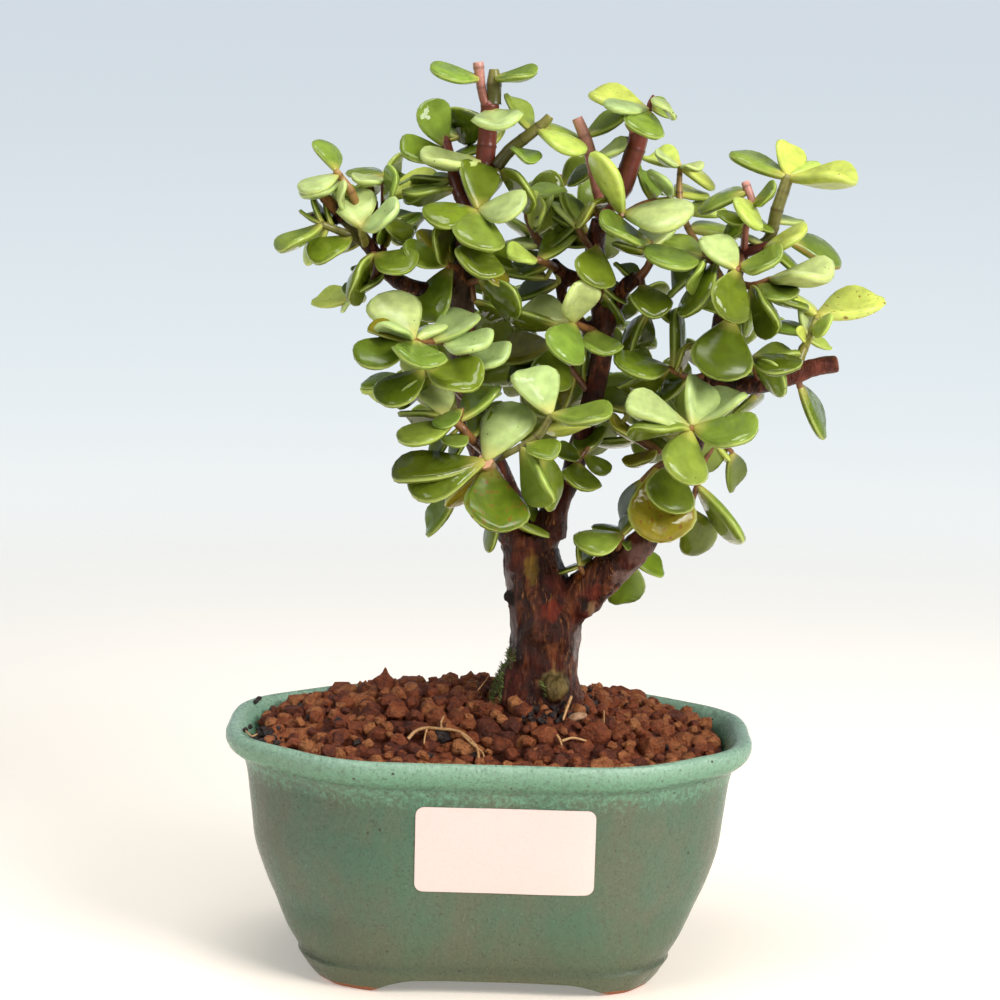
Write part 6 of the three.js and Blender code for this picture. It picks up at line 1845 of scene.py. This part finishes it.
@dataclass
class Pot:
    """A long octagonal bonsai pot with a rolled lip, a groove over its foot ring and four low feet.

    profile holds shares of the rim's outline with heights in millimetres: from the recess under the
    floor, out over the foot ring, up the outside, over the lip and down the inner wall.
    """

    length_mm: float = 152.0
    depth_mm: float = 100.0
    front_flat_mm: float = 84.0
    side_flat_mm: float = 46.0
    corner_reach_mm: float = 15.0
    corner_points: int = 9
    arch_front_mm: float = 49.0
    arch_side_mm: float = 28.0
    arch_height_mm: float = 4.4
    arch_round_mm: float = 4.0
    arch_spread_mm: float = 13.0
    arch_aside_mm: float = 1.8
    foot_square: float = 0.28
    foot_square_mm: float = 22.0
    drain_radius_mm: float = 6.0
    drain_offset_mm: float = 24.0
    # Two waves in the wall, as thrown by hand: their width and how far they stand out
    wave_mm: float = 26.0
    wave_rise_mm: float = 0.55
    ripple_mm: float = 9.0
    ripple_rise_mm: float = 0.14
    # The point of the profile where the wall stands on the foot
    foot_point: int = 6
    profile: tuple[tuple[float, float], ...] = (
        (0.5, 5.0), (0.545, 4.6), (0.565, 0.5), (0.578, 0.0), (0.632, 0.0), (0.646, 0.7), (0.672, 3.2), (0.697, 5.6),
        (0.708, 6.8), (0.706, 7.7), (0.714, 8.7), (0.757, 13.6), (0.8, 20.0), (0.845, 28.0), (0.887, 38.0),
        (0.907, 49.0), (0.917, 57.0), (0.926, 61.0), (0.94, 63.2), (0.966, 64.6), (0.988, 66.2), (0.999, 68.4),
        (0.998, 70.1),
        (0.986, 71.2), (0.967, 71.5), (0.947, 71.0), (0.928, 69.4), (0.905, 66.5), (0.866, 57.0), (0.835, 40.0),
        (0.77, 22.0), (0.66, 13.5), (0.56, 11.2), (0.45, 11.0),
    )

    def outline(self) -> list[Vector]:
        """Gives the rim's outline, a long octagon with generous round corners, in millimetres."""
        a, b = self.length_mm / 2, self.depth_mm / 2
        fx, fy = self.front_flat_mm / 2, self.side_flat_mm / 2
        corners = [(a, -fy), (a, fy), (fx, b), (-fx, b), (-a, fy), (-a, -fy), (-fx, -b), (fx, -b)]
        points = []
        for index, place in enumerate(corners):
            corner = Vector(place)
            before, after = Vector(corners[index - 1]), Vector(corners[(index + 1) % 8])
            reach = min(self.corner_reach_mm, (before - corner).length / 2.2, (after - corner).length / 2.2)
            start = corner + (before - corner).normalized() * reach
            end = corner + (after - corner).normalized() * reach
            for count in range(self.corner_points):
                t = count / (self.corner_points - 1)
                points.append(start * (1 - t) ** 2 + corner * 2 * t * (1 - t) + end * t**2)
        return self._evenly(points, 128)

    @staticmethod
    def _evenly(points: Sequence[Vector], count: int) -> list[Vector]:
        """Spreads a number of points evenly along a closed outline."""
        closed = [*points, points[0]]
        lengths = [0.0]
        for start, end in zip(closed, closed[1:]):
            lengths.append(lengths[-1] + (end - start).length)
        spread, piece = [], 0
        for index in range(count):
            goal = lengths[-1] * index / count
            while lengths[piece + 1] < goal:
                piece += 1
            share = (goal - lengths[piece]) / max(lengths[piece + 1] - lengths[piece], 1e-9)
            spread.append(closed[piece].lerp(closed[piece + 1], share))
        return spread

    def ring(self, name: str, share: float, height_mm: float) -> Piece:
        """Makes a ring with the rim's outline at a share of its size, selected in edit mode."""
        points = self.outline()
        piece = new_primitive(bpy.ops.mesh.primitive_circle_add, name, vertices=len(points), radius=1.0)
        for vertex, point in zip(piece.data.vertices, points):
            vertex.co = VIEW.pot_middle + Vector((point.x * share, point.y * share, height_mm)) * MM
        edit_all(piece)
        return piece

    def next_ring(self, share: float, height_mm: float, new_share: float, new_height_mm: float) -> None:
        """Extrudes the selected ring up or down, and widens or narrows it about the pot's middle."""
        bpy.ops.mesh.extrude_region_move(
            TRANSFORM_OT_translate={"value": (0.0, 0.0, (new_height_mm - height_mm) * MM)}
        )
        factor = new_share / share
        resize(factor, factor, 1.0, centre=tuple(VIEW.pot_middle))

    def _smooth_profile(self) -> list[tuple[float, float]]:
        """Draws a smooth line through the profile's points."""
        points = [TubePoint(Vector((share, 0.0, height / 100)), 0.0) for share, height in self.profile]
        return [(point.centre.x, point.centre.z * 100) for point in smooth_line(points, 22.0)]

    def _arch(self, width_mm: float, length_mm: float, along: Vector) -> Piece:
        """Models the space between two feet, with rounded upper edges."""
        cutter = new_primitive(bpy.ops.mesh.primitive_cube_add, "arch", size=1.0)
        edit_all(cutter)
        resize(width_mm * MM, length_mm * MM, 2 * self.arch_height_mm * MM)
        select_where(cutter, lambda co: co.z < 0)
        resize(1 + 2 * self.arch_spread_mm / width_mm, 1.0, 1.0)
        bpy.ops.mesh.select_mode(type="EDGE")
        bpy.ops.mesh.select_all(action="DESELECT")
        bpy.ops.object.mode_set(mode="OBJECT")
        points = cutter.data.vertices
        for edge in cutter.data.edges:
            start, end = (points[index].co for index in edge.vertices)
            edge.select = start.z > 0 and end.z > 0 and abs(start.x - end.x) < 1e-6
        bpy.ops.object.mode_set(mode="EDIT")
        bpy.ops.mesh.bevel(offset=self.arch_round_mm * MM, segments=8, profile=0.5)
        bpy.ops.mesh.select_all(action="SELECT")
        if along.x:
            rotate(math.pi / 2, "Z")
        shift(*(VIEW.pot_middle + Vector((self.arch_aside_mm * along.y * MM, 0.0, 0.0))))
        deselect()
        return cutter

    def _hole(self, x_mm: float) -> Piece:
        """Models the cutter of one drain hole."""
        hole = new_primitive(
            bpy.ops.mesh.primitive_cylinder_add, "drain", vertices=32, radius=self.drain_radius_mm * MM, depth=30 * MM
        )
        edit_all(hole)
        shift(*(VIEW.pot_middle + Vector((x_mm, 0.0, 8.0)) * MM))
        deselect()
        return hole

    def build(self) -> Piece:
        """Makes the pot.

        Returns:
            The pot's piece.
        """
        rows = self._smooth_profile()
        pot = self.ring("glazed_pot", *rows[0])
        bpy.ops.mesh.edge_face_add()
        bpy.ops.mesh.select_all(action="SELECT")
        for (share, height), (new_share, new_height) in zip(rows, rows[1:]):
            self.next_ring(share, height, new_share, new_height)
        bpy.ops.mesh.edge_face_add()
        bpy.ops.mesh.select_all(action="SELECT")
        bpy.ops.mesh.normals_make_consistent(inside=False)
        deselect()
        cutters = [
            self._arch(self.arch_front_mm, self.depth_mm, Vector((0, 1, 0))),
            self._arch(self.arch_side_mm, self.length_mm, Vector((1, 0, 0))),
            self._hole(-self.drain_offset_mm),
            self._hole(self.drain_offset_mm),
        ]
        for cutter in cutters:
            apply_modifier(pot, "BOOLEAN", object=cutter, operation="DIFFERENCE", solver="EXACT")
        put_away(cutters)
        for vertex in pot.data.vertices:
            aside = vertex.co - VIEW.pot_middle
            height = aside.z / MM
            wander = noise.noise(vertex.co / (self.wave_mm * MM)) * self.wave_rise_mm
            wander += noise.noise(vertex.co / (self.ripple_mm * MM)) * self.ripple_rise_mm
            inner = min(abs(aside.x) / self.length_mm, abs(aside.y) / self.depth_mm) * 2 / MM
            inner /= self.profile[self.foot_point][0]
            square = self.foot_square * max(0.0, 1 - height / self.foot_square_mm) * min(1.0, inner) ** 2
            vertex.co += Vector((aside.x, aside.y, 0.0)) * square
            if height > self.arch_height_mm:
                vertex.co += Vector((aside.x, aside.y, 0.0)).normalized() * wander * MM
        smooth(pot, 42.0)
        return dress(pot, FINISHES.glaze, "glaze", "pot")


@dataclass
class Label:
    """A blank paper sticker with round corners on the pot's front."""

    width_mm: float = 50.0
    height_mm: float = 25.0
    thickness_mm: float = 0.22
    corner_mm: float = 2.4
    middle_x_mm: float = 5.4
    middle_z_mm: float = 46.0
    strips: int = 14
    start_mm: float = 80.0
    glue_mm: float = 0.06

    def build(self, pot: Piece) -> None:
        """Cuts the sticker and lays it on the wall.

        Args:
            pot: The pot's piece.
        """
        sheet = new_primitive(bpy.ops.mesh.primitive_plane_add, "paper_label", size=1.0)
        edit_all(sheet)
        resize(self.width_mm * MM, self.height_mm * MM, 1.0)
        bpy.ops.mesh.bevel(offset=self.corner_mm * MM, segments=6, affect="VERTICES")
        # Cut it into small squares, so that it can follow the wall
        for strips, side_mm, across in (
            (self.strips, self.height_mm, (0.0, 1.0, 0.0)), (2 * self.strips, self.width_mm, (1.0, 0.0, 0.0)),
        ):
            for index in range(1, strips):
                level = (index / strips - 0.5) * side_mm * MM
                bpy.ops.mesh.select_all(action="SELECT")
                bpy.ops.mesh.bisect(plane_co=tuple(level * share for share in across), plane_no=across)
        bpy.ops.object.mode_set(mode="OBJECT")
        front = VIEW.pot_middle.y - self.start_mm * MM
        for vertex in sheet.data.vertices:
            x, z = vertex.co.x + self.middle_x_mm * MM, vertex.co.y + self.middle_z_mm * MM
            vertex.co = Vector((VIEW.pot_middle.x + x, front, VIEW.pot_middle.z + z))
        sheet.data.update()
        apply_modifier(
            sheet, "SHRINKWRAP", target=pot, wrap_method="PROJECT", use_project_y=True, offset=self.glue_mm * MM
        )
        apply_modifier(sheet, "SOLIDIFY", thickness=self.thickness_mm * MM, offset=1.0)
        edit_all(sheet)
        bpy.ops.mesh.normals_make_consistent(inside=False)
        smooth(sheet, 40.0)
        dress(sheet, FINISHES.label, "label", "pot_label")


# ---- soil


@dataclass
class Soil:
    """A bed of porous clay granules, heaped to a crown behind the trunk."""

    pot: Pot
    edge_share: float = 0.905
    edge_mm: float = 66.5
    crown_rise_mm: float = 10.0
    crown_back_mm: float = 15.0
    bed_rings: int = 22
    bed_share: float = 0.885
    bed_drop_mm: float = 3.2
    bed_mm: float = 3.0
    grit_mm: float = 5.0
    grit_rise_mm: float = 1.2
    granule_forms: int = 10
    # How far a granule's points stray, and its flat sides: their number, their reach and how flat they are
    stray: float = 0.24
    facets: int = 4
    facet_reach: tuple[float, float] = (0.55, 0.8)
    flatness: float = 0.85
    granule_reach: float = 0.9
    granule_sink_mm: float = 0.8
    trunk_foot: StemPoint = (541, 700, 3, 62)
    # The low mound against the trunk's near side: its height, its reach, and its middle behind the pot's
    mound_mm: float = 6.0
    mound_reach_mm: float = 19.0
    mound_back_mm: float = -15.0
    # For each layer: tries, smallest and largest granule, lift over the bed, and how close they lie
    layers: tuple[tuple[int, float, float, float, float], ...] = (
        (3600, 3.6, 6.0, -2.6, 0.35),
        (3400, 4.8, 9.6, -0.6, 0.39),
        (1200, 2.6, 5.6, 1.6, 0.46),
    )
    # Heaped granules that stand out: column, row, width in millimetres and shade
    peaks: tuple[tuple[float, float, float, float], ...] = (
        (342, 690, 7.2, 0.3), (410, 684, 6.8, 0.45), (470, 682, 7.4, 0.5), (517, 706, 7.0, 0.95), (635, 697, 7.0, 0.4),
        (500, 696, 7.5, 0.4), (524, 712, 7.0, 0.3), (584, 706, 6.5, 0.5), (604, 704, 7.5, 0.6), (596, 735, 8.5, 0.35),
        (652, 748, 9.0, 0.5), (545, 735, 8.0, 0.4), (398, 712, 8.5, 0.5),
    )

    def height(self, x_mm: float, y_mm: float) -> float:
        """Gives the bed's height in millimetres at a place from the pot's middle."""
        across = x_mm / (self.pot.length_mm / 2)
        back = (y_mm - self.crown_back_mm) / (self.pot.depth_mm / 2)
        reach = math.hypot(across, back) / self.edge_share
        foot_x = (seen_point(self.trunk_foot).centre.x - VIEW.pot_middle.x) / MM
        apart = math.hypot(x_mm - foot_x, y_mm - self.mound_back_mm) / self.mound_reach_mm
        mound = self.mound_mm * math.exp(-apart**2)
        return self.edge_mm + self.crown_rise_mm * max(0.0, 1 - reach**2) + mound

    def on_soil(self, column: float, row: float, lift_mm: float = 0.0) -> Vector:
        """Finds the place that shows at a column and a row, that far over the bed or nearest to it, in metres."""
        toward = self.pot.depth_mm / 2
        nearest, least = ORIGIN, math.inf
        while toward > -self.pot.depth_mm / 2:
            place = VIEW.place(column, row, toward)
            apart = (place - VIEW.pot_middle) / MM
            over = apart.z - self.height(apart.x, apart.y) - lift_mm
            if over <= 0:
                return place
            if over < least:
                nearest, least = place, over
            toward -= 0.25
        return nearest - UP * least * MM

    def _bed(self) -> None:
        """Makes the bed that the granules lie in, in the darkest clay as painted shade in the gaps between them."""
        shares = [self.bed_share * (1 - index / self.bed_rings) for index in range(self.bed_rings)]
        bed = self.pot.ring("soil_bed", shares[0], self.edge_mm)
        for share, new_share in zip(shares, shares[1:]):
            self.pot.next_ring(share, self.edge_mm, new_share, self.edge_mm)
        bpy.ops.mesh.merge(type="CENTER")
        deselect()
        for vertex in bed.data.vertices:
            apart = (vertex.co - VIEW.pot_middle) / MM
            rough = noise.fractal(vertex.co / (self.grit_mm * MM), 1.0, 2.0, 2) * self.grit_rise_mm
            vertex.co.z = VIEW.pot_middle.z + (self.height(apart.x, apart.y) - self.bed_drop_mm + rough) * MM
        apply_modifier(bed, "SOLIDIFY", thickness=self.bed_mm * MM, offset=-1.0)
        smooth(bed)
        # Shade 0 gives the darkest clay: painted shade between the granules
        point_values(bed, "shade", 0.0)
        dress(bed, FINISHES.clay, "soil", "soil")

    def granule(self, index: int) -> Piece:
        """Models one angular, lumpy granule of unit radius, with the index as its seed."""
        chance = random.Random(f"granule {index}")
        model = new_primitive(bpy.ops.mesh.primitive_ico_sphere_add, "granule", subdivisions=2, radius=1.0)
        edit_all(model)
        bpy.ops.transform.vertex_random(offset=self.stray, uniform=0.0, normal=0.7, seed=index + 1)
        size = (chance.uniform(0.9, 1.25), chance.uniform(0.8, 1.1), chance.uniform(0.7, 0.95))
        resize(*size)
        deselect()
        for _ in range(self.facets):
            side = Vector([chance.uniform(-1, 1) for _ in range(3)]).normalized()
            reach = chance.uniform(*self.facet_reach)
            for vertex in model.data.vertices:
                over = vertex.co.dot(side) - reach
                if over > 0:
                    vertex.co -= side * over * self.flatness
        smooth(model, 32.0)
        return model

    def _places(self, chance: random.Random) -> list[tuple[Vector, float, float]]:
        """Finds the granules' places, widths and shades, the large ones of each layer first."""
        outline = self.pot.outline()
        foot = seen_point(self.trunk_foot)
        standing = [(self.on_soil(column, row, 1.5), width, shade) for column, row, width, shade in self.peaks]
        granules = list(standing)
        for tries, least, most, lift, gap in self.layers:
            laid = list(standing)
            for attempt in range(tries):
                size = most - (most - least) * (attempt / tries) ** 0.5
                edge = chance.choice(outline)
                reach = math.sqrt(chance.random()) * (self.granule_reach - size / 2 / edge.length)
                x, y = edge.x * reach, edge.y * reach
                z = self.height(x, y) + lift + chance.uniform(-self.granule_sink_mm, self.granule_sink_mm)
                place = VIEW.pot_middle + Vector((x, y, z)) * MM
                if (place - foot.centre).xy.length < foot.radius + 0.2 * size * MM:
                    continue
                if all((place - other).length > gap * (size + width) * MM for other, width, _ in laid):
                    laid.append((place, size, chance.random()))
            granules += laid[len(standing):]
        return granules

    def build(self) -> None:
        """Makes the bed and lays the granules."""
        self._bed()
        chance = random.Random("granules")
        models = [self.granule(index) for index in range(self.granule_forms)]
        copies = []
        for place, size, shade in self._places(chance):
            turn = Matrix.Rotation(chance.uniform(0, 2 * math.pi), 4, "Z")
            tip = Matrix.Rotation(chance.uniform(-0.6, 0.6), 4, "X")
            matrix = Matrix.Translation(place) @ (turn @ tip) @ Matrix.Scale(size / 2 * MM, 4)
            copy = placed_copy(chance.choice(models), matrix)
            point_values(copy, "shade", shade)
            copies.append(copy)
        dress(join(copies, "clay_granules"), FINISHES.clay, "soil")
        put_away(models)


@dataclass(frozen=True)
class Fibre:
    """A thin thing on the soil: its columns, rows and heights over the bed, and its width at both ends."""

    points: tuple[tuple[float, float, float], ...]
    start_mm: float
    end_mm: float


@dataclass
class Litter:
    """What lies on the soil: roots, a pebble, a cone-shaped granule, bits of peat and threads."""

    soil: Soil
    left_root: tuple[Fibre, ...] = (
        Fibre(((408, 739, 1.0), (416, 731, 2.2), (427, 728, 2.8), (440, 729, 3.0), (452, 730, 2.8), (462, 733, 2.6),
               (471, 740, 2.4), (477, 748, 2.2), (479, 760, 1.2)), 1.1, 0.7),
        Fibre(((427, 729, 2.6), (425, 736, 2.0), (424, 744, 1.0)), 0.7, 0.4),
        Fibre(((461, 733, 2.6), (472, 744, 2.2), (482, 752, 1.6), (484, 757, 1.0)), 0.8, 0.45),
        Fibre(((444, 716, 2.6), (441, 723, 3.2), (442, 730, 2.8)), 0.5, 0.7),
    )
    right_root: tuple[Fibre, ...] = (
        Fibre(((553, 731, 2.0), (559, 738, 2.6), (562, 746, 2.0)), 0.9, 0.6),
        Fibre(((562, 741, 2.6), (573, 738, 3.0), (586, 741, 2.2)), 0.9, 0.7),
    )
    threads: tuple[Fibre, ...] = (
        Fibre(((571, 697, 4.2), (567, 708, 3.4), (563, 720, 2.4)), 1.0, 0.6),
        Fibre(((604, 711, 3.4), (604, 724, 3.0)), 0.4, 0.3),
        Fibre(((478, 690, 3.6), (486, 680, 5.2), (489, 674, 6.8)), 0.3, 0.25),
        Fibre(((246, 731, 3.6), (252, 736, 4.4), (257, 734, 4.8)), 0.5, 0.4),
    )
    pebble: tuple[float, float] = (577, 717)
    pebble_mm: tuple[float, float, float] = (5.6, 4.2, 2.3)
    pebble_tilt: float = 0.3
    pebble_lift_mm: float = 3.0
    dent_mm: float = 2.6
    dent_share: float = 0.22
    cone: tuple[float, float] = (385, 683)
    cone_mm: float = 5.8
    cone_lift_mm: float = 4.0
    # The cone's sides narrow by a share toward its top, and its top is drawn out by another
    cone_narrow: float = 0.45
    cone_spike: float = 0.7
    lump_mm: float = 2.2
    lump_share: float = 0.6
    # Peat: column, row and width in millimetres; the first two lie in the hollow under the left root, where they are
    # partly peat and partly painted shade
    peat: tuple[tuple[float, float, float], ...] = (
        (441, 736, 5.6), (446, 737, 4.6), (272, 711, 2.6), (311, 719, 3.0), (339, 723, 3.4), (358, 744, 2.8),
        (300, 706, 2.0), (430, 757, 2.4), (476, 757, 3.2), (628, 706, 2.2), (560, 757, 2.2), (666, 748, 2.2),
    )
    # Fields of crumbs: left and right column, top and bottom row, and their number
    fields: tuple[tuple[float, float, float, float, int], ...] = ((252, 284, 728, 750, 60), (520, 596, 690, 722, 110))
    rim_crumbs: tuple[tuple[float, float], ...] = ((256, 702), (250, 727), (246, 730), (262, 741), (259, 699))
    rim_rise_mm: float = 5.0
    rim_crumb_mm: float = 1.8
    crumb_mm: tuple[float, float] = (0.7, 2.6)
    crumb_lift_mm: tuple[float, float] = (1.0, 2.6)
    # The seed of the crumbs' form, past those of the granules
    crumb_seed: int = 99
    lift_mm: float = 1.6
    sides: int = 6

    def _fibre(self, fibre: Fibre) -> Piece:
        """Makes one fibre as a tube over the soil."""
        last = len(fibre.points) - 1
        line = []
        for index, point in enumerate(fibre.points):
            width = fibre.start_mm + (fibre.end_mm - fibre.start_mm) * index / last
            column, row, lift = point
            line.append(TubePoint(self.soil.on_soil(column, row, lift + self.lift_mm), width / 2 * MM))
        return tube("fibre", smooth_line(line, 0.8), self.sides)

    def _fibres(self, fibres: Sequence[Fibre], name: str, *nodes: str) -> None:
        """Makes a piece of several fibres."""
        piece = join([self._fibre(fibre) for fibre in fibres], name)
        smooth(piece)
        dress(piece, FINISHES.root, "root", *nodes)

    def _pebble(self) -> None:
        """Makes the flat tan pebble."""
        place = self.soil.on_soil(*self.pebble, self.pebble_lift_mm)
        stone = new_primitive(bpy.ops.mesh.primitive_ico_sphere_add, "worn_pebble", subdivisions=4, radius=0.5)
        edit_all(stone)
        resize(*(side * MM for side in self.pebble_mm))
        rotate(self.pebble_tilt, "Y")
        shift(*place)
        deselect()
        for vertex in stone.data.vertices:
            vertex.co += (vertex.co - place) * self.dent_share * noise.noise(vertex.co / (self.dent_mm * MM))
        smooth(stone)
        dress(stone, FINISHES.pebble, "pebble", "tan_pebble")

    def _cone(self) -> None:
        """Makes the teardrop granule, drawn out to a thin spike."""
        place = self.soil.on_soil(*self.cone, self.cone_lift_mm)
        ball = bpy.ops.mesh.primitive_uv_sphere_add
        cone = new_primitive(ball, "cone_granule_lump", segments=20, ring_count=14, radius=0.5)
        edit_all(cone)
        resize(*(self.cone_mm * MM,) * 3)
        shift(*place)
        deselect()
        half = self.cone_mm / 2 * MM
        for vertex in cone.data.vertices:
            apart = vertex.co - place
            rise = max(0.0, apart.z / half)
            rough = 1 + self.lump_share * noise.noise(vertex.co / (self.lump_mm * MM))
            narrow = 1 - self.cone_narrow * rise**3
            stretch = 1 + self.cone_spike * rise**12
            vertex.co = place + Vector((apart.x * narrow * rough, apart.y * narrow * rough, apart.z * stretch))
        point_values(cone, "shade", 0.3)
        smooth(cone, 60.0)
        dress(cone, FINISHES.clay, "soil", "cone_granule")

    def _peat(self) -> None:
        """Scatters the crumbs of peat."""
        chance = random.Random("peat")
        model = self.soil.granule(self.crumb_seed)
        spots = [(self.soil.on_soil(column, row, self.lift_mm), width) for column, row, width in self.peat]
        for left, right, top, bottom, count in self.fields:
            for _ in range(count):
                column, row = chance.uniform(left, right), chance.uniform(top, bottom)
                place = self.soil.on_soil(column, row, chance.uniform(*self.crumb_lift_mm))
                spots.append((place, chance.uniform(*self.crumb_mm)))
        spots += [(self.soil.on_soil(*spot, self.rim_rise_mm), self.rim_crumb_mm) for spot in self.rim_crumbs]
        copies = []
        for place, width in spots:
            turn = Matrix.Rotation(chance.uniform(0, 2 * math.pi), 4, "Z")
            copies.append(placed_copy(model, Matrix.Translation(place) @ turn @ Matrix.Scale(width / 2 * MM, 4)))
        dress(join(copies, "peat_crumbs"), FINISHES.peat, "soil")
        put_away([model])

    def build(self) -> None:
        """Makes everything that lies on the soil."""
        self._fibres(self.left_root, "left_root_fibres", "surface_root_left")
        self._fibres(self.right_root, "right_root_fibres", "surface_root_right")
        self._fibres(self.threads, "loose_threads")
        self._pebble()
        self._cone()
        self._peat()


# ---- studio


@dataclass
class Studio:
    """A plain pale table whose far side fades into a pale backdrop, under soft light from the right."""

    near: str = "#f7e7d4"
    far: str = "#f7f6f2"
    glow: float = 0.28
    floor_m: float = 6.0
    fade_mm: tuple[float, float] = (320.0, 950.0)
    # The backdrop from the horizon down, as the height of a direction and a hex colour
    backdrop: tuple[tuple[float, str], ...] = (
        (0.0, "#d3dce4"), (0.03, "#d6dfe6"), (0.11, "#e3ecf1"), (0.18, "#f5f7f6"), (0.25, "#fbf8f2"), (0.4, "#fdf9f3"),
    )
    dimmest: float = 0.35
    # For each soft light its name, its place and size in metres, and its power in watts
    panels: tuple[tuple[str, tuple[float, float, float], tuple[float, float], float], ...] = (
        ("overhead_panel", (-0.05, -0.1, 1.0), (0.55, 0.35), 5.2),
        ("front_right_panel", (0.6, -0.6, 0.62), (0.42, 0.42), 10.0),
        ("front_left_panel", (-0.75, -0.7, 0.7), (0.3, 0.4), 2.0),
    )
    lit_height_m: float = 0.14

    def _floor(self) -> None:
        """Makes the floor, warm near the pot and clear far away."""
        floor = new_primitive(bpy.ops.mesh.primitive_plane_add, "floor", size=self.floor_m)
        for vertex in floor.data.vertices:
            vertex.co += Vector((0.0, 0.0, -0.05 * MM))
        material, node = new_material("matt_pale_table")
        place = node(PLACES, out="Object")
        reach = node("ShaderNodeVectorMath", (place,), "Value", operation="LENGTH")
        start, end = (value * MM for value in self.fade_mm)
        share = node(REMAP, (reach, 0.0, end, 0.0, 1.0))
        colour = node(MIX, {0: share, 6: self.near, 7: self.far}, 2, **BLEND)
        shader = node(SURFACE, {
            "Base Color": colour, "Roughness": 0.7, "Specular IOR Level": 0.15,
            "Emission Color": self.far, "Emission Strength": self.glow,
        })
        clear = node("ShaderNodeBsdfTransparent")
        share = node(REMAP, (reach, start, end, 0.0, 1.0), interpolation_type="SMOOTHERSTEP")
        faded = node("ShaderNodeMixShader", (share, shader, clear))
        node("ShaderNodeOutputMaterial", (faded,))
        floor.data.materials.append(material)

    def _surroundings(self) -> None:
        """Makes the backdrop, bright behind the pot and dimmer overhead and in front."""
        world = bpy.data.worlds.new("pale_surroundings")
        world.use_nodes = True
        world.node_tree.nodes.clear()
        node = partial(add_node, world.node_tree)
        direction = node(PLACES, out="Generated")
        height = node(SPLIT, (direction,), "Z")
        away = node(SPLIT, (direction,), "Y")
        below = node(MATHS, (height, -1.0), operation="MULTIPLY")
        colour = node(RAMP, (below,))
        set_stops(colour, self.backdrop)
        overhead = node(REMAP, (height, 0.03, 0.3, 1.0, self.dimmest))
        in_front = node(REMAP, (away, 0.3, -0.4, 1.0, self.dimmest))
        strength = node(MATHS, (overhead, in_front), operation="MINIMUM")
        light = node("ShaderNodeBackground", (colour, strength))
        node("ShaderNodeOutputWorld", (light,))
        bpy.context.scene.world = world

    def _panel(
        self, name: str, place: tuple[float, float, float], size: tuple[float, float], watts: float
    ) -> None:
        """Hangs a soft light that faces the plant.

        Args:
            name: Its name.
            place: Its place, in metres.
            size: Its sides, in metres.
            watts: Its power.
        """
        data = bpy.data.lights.new(name, "AREA")
        data.shape = "RECTANGLE"
        data.size, data.size_y = size
        data.energy = watts
        lamp = bpy.data.objects.new(name, data)
        bpy.context.scene.collection.objects.link(lamp)
        aim = Vector((0.0, 0.0, self.lit_height_m)) - Vector(place)
        turned = aim.to_track_quat("-Z", "Y").to_matrix().to_4x4()
        lamp.matrix_world = Matrix.Translation(place) @ turned

    def build(self) -> None:
        """Makes the floor, the surroundings and the lights."""
        self._floor()
        self._surroundings()
        for panel in self.panels:
            self._panel(*panel)
        bpy.context.scene.view_settings.view_transform = "Standard"


def main() -> None:
    """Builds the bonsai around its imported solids."""
    VIEW.add_camera()
    Studio().build()
    pot = Pot()
    glazed = pot.build()
    Label().build(glazed)
    soil = Soil(pot)
    soil.build()
    Litter(soil).build()
    wood = Trunk().build()
    Moss().build(wood)
    Foliage().build()
    for name in ("drainage_mesh_left", "drainage_mesh_right"):
        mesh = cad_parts[name].data
        mesh.materials.clear()
        mesh.materials.append(FINISHES.mesh)


if __name__ == "__main__":
    main()
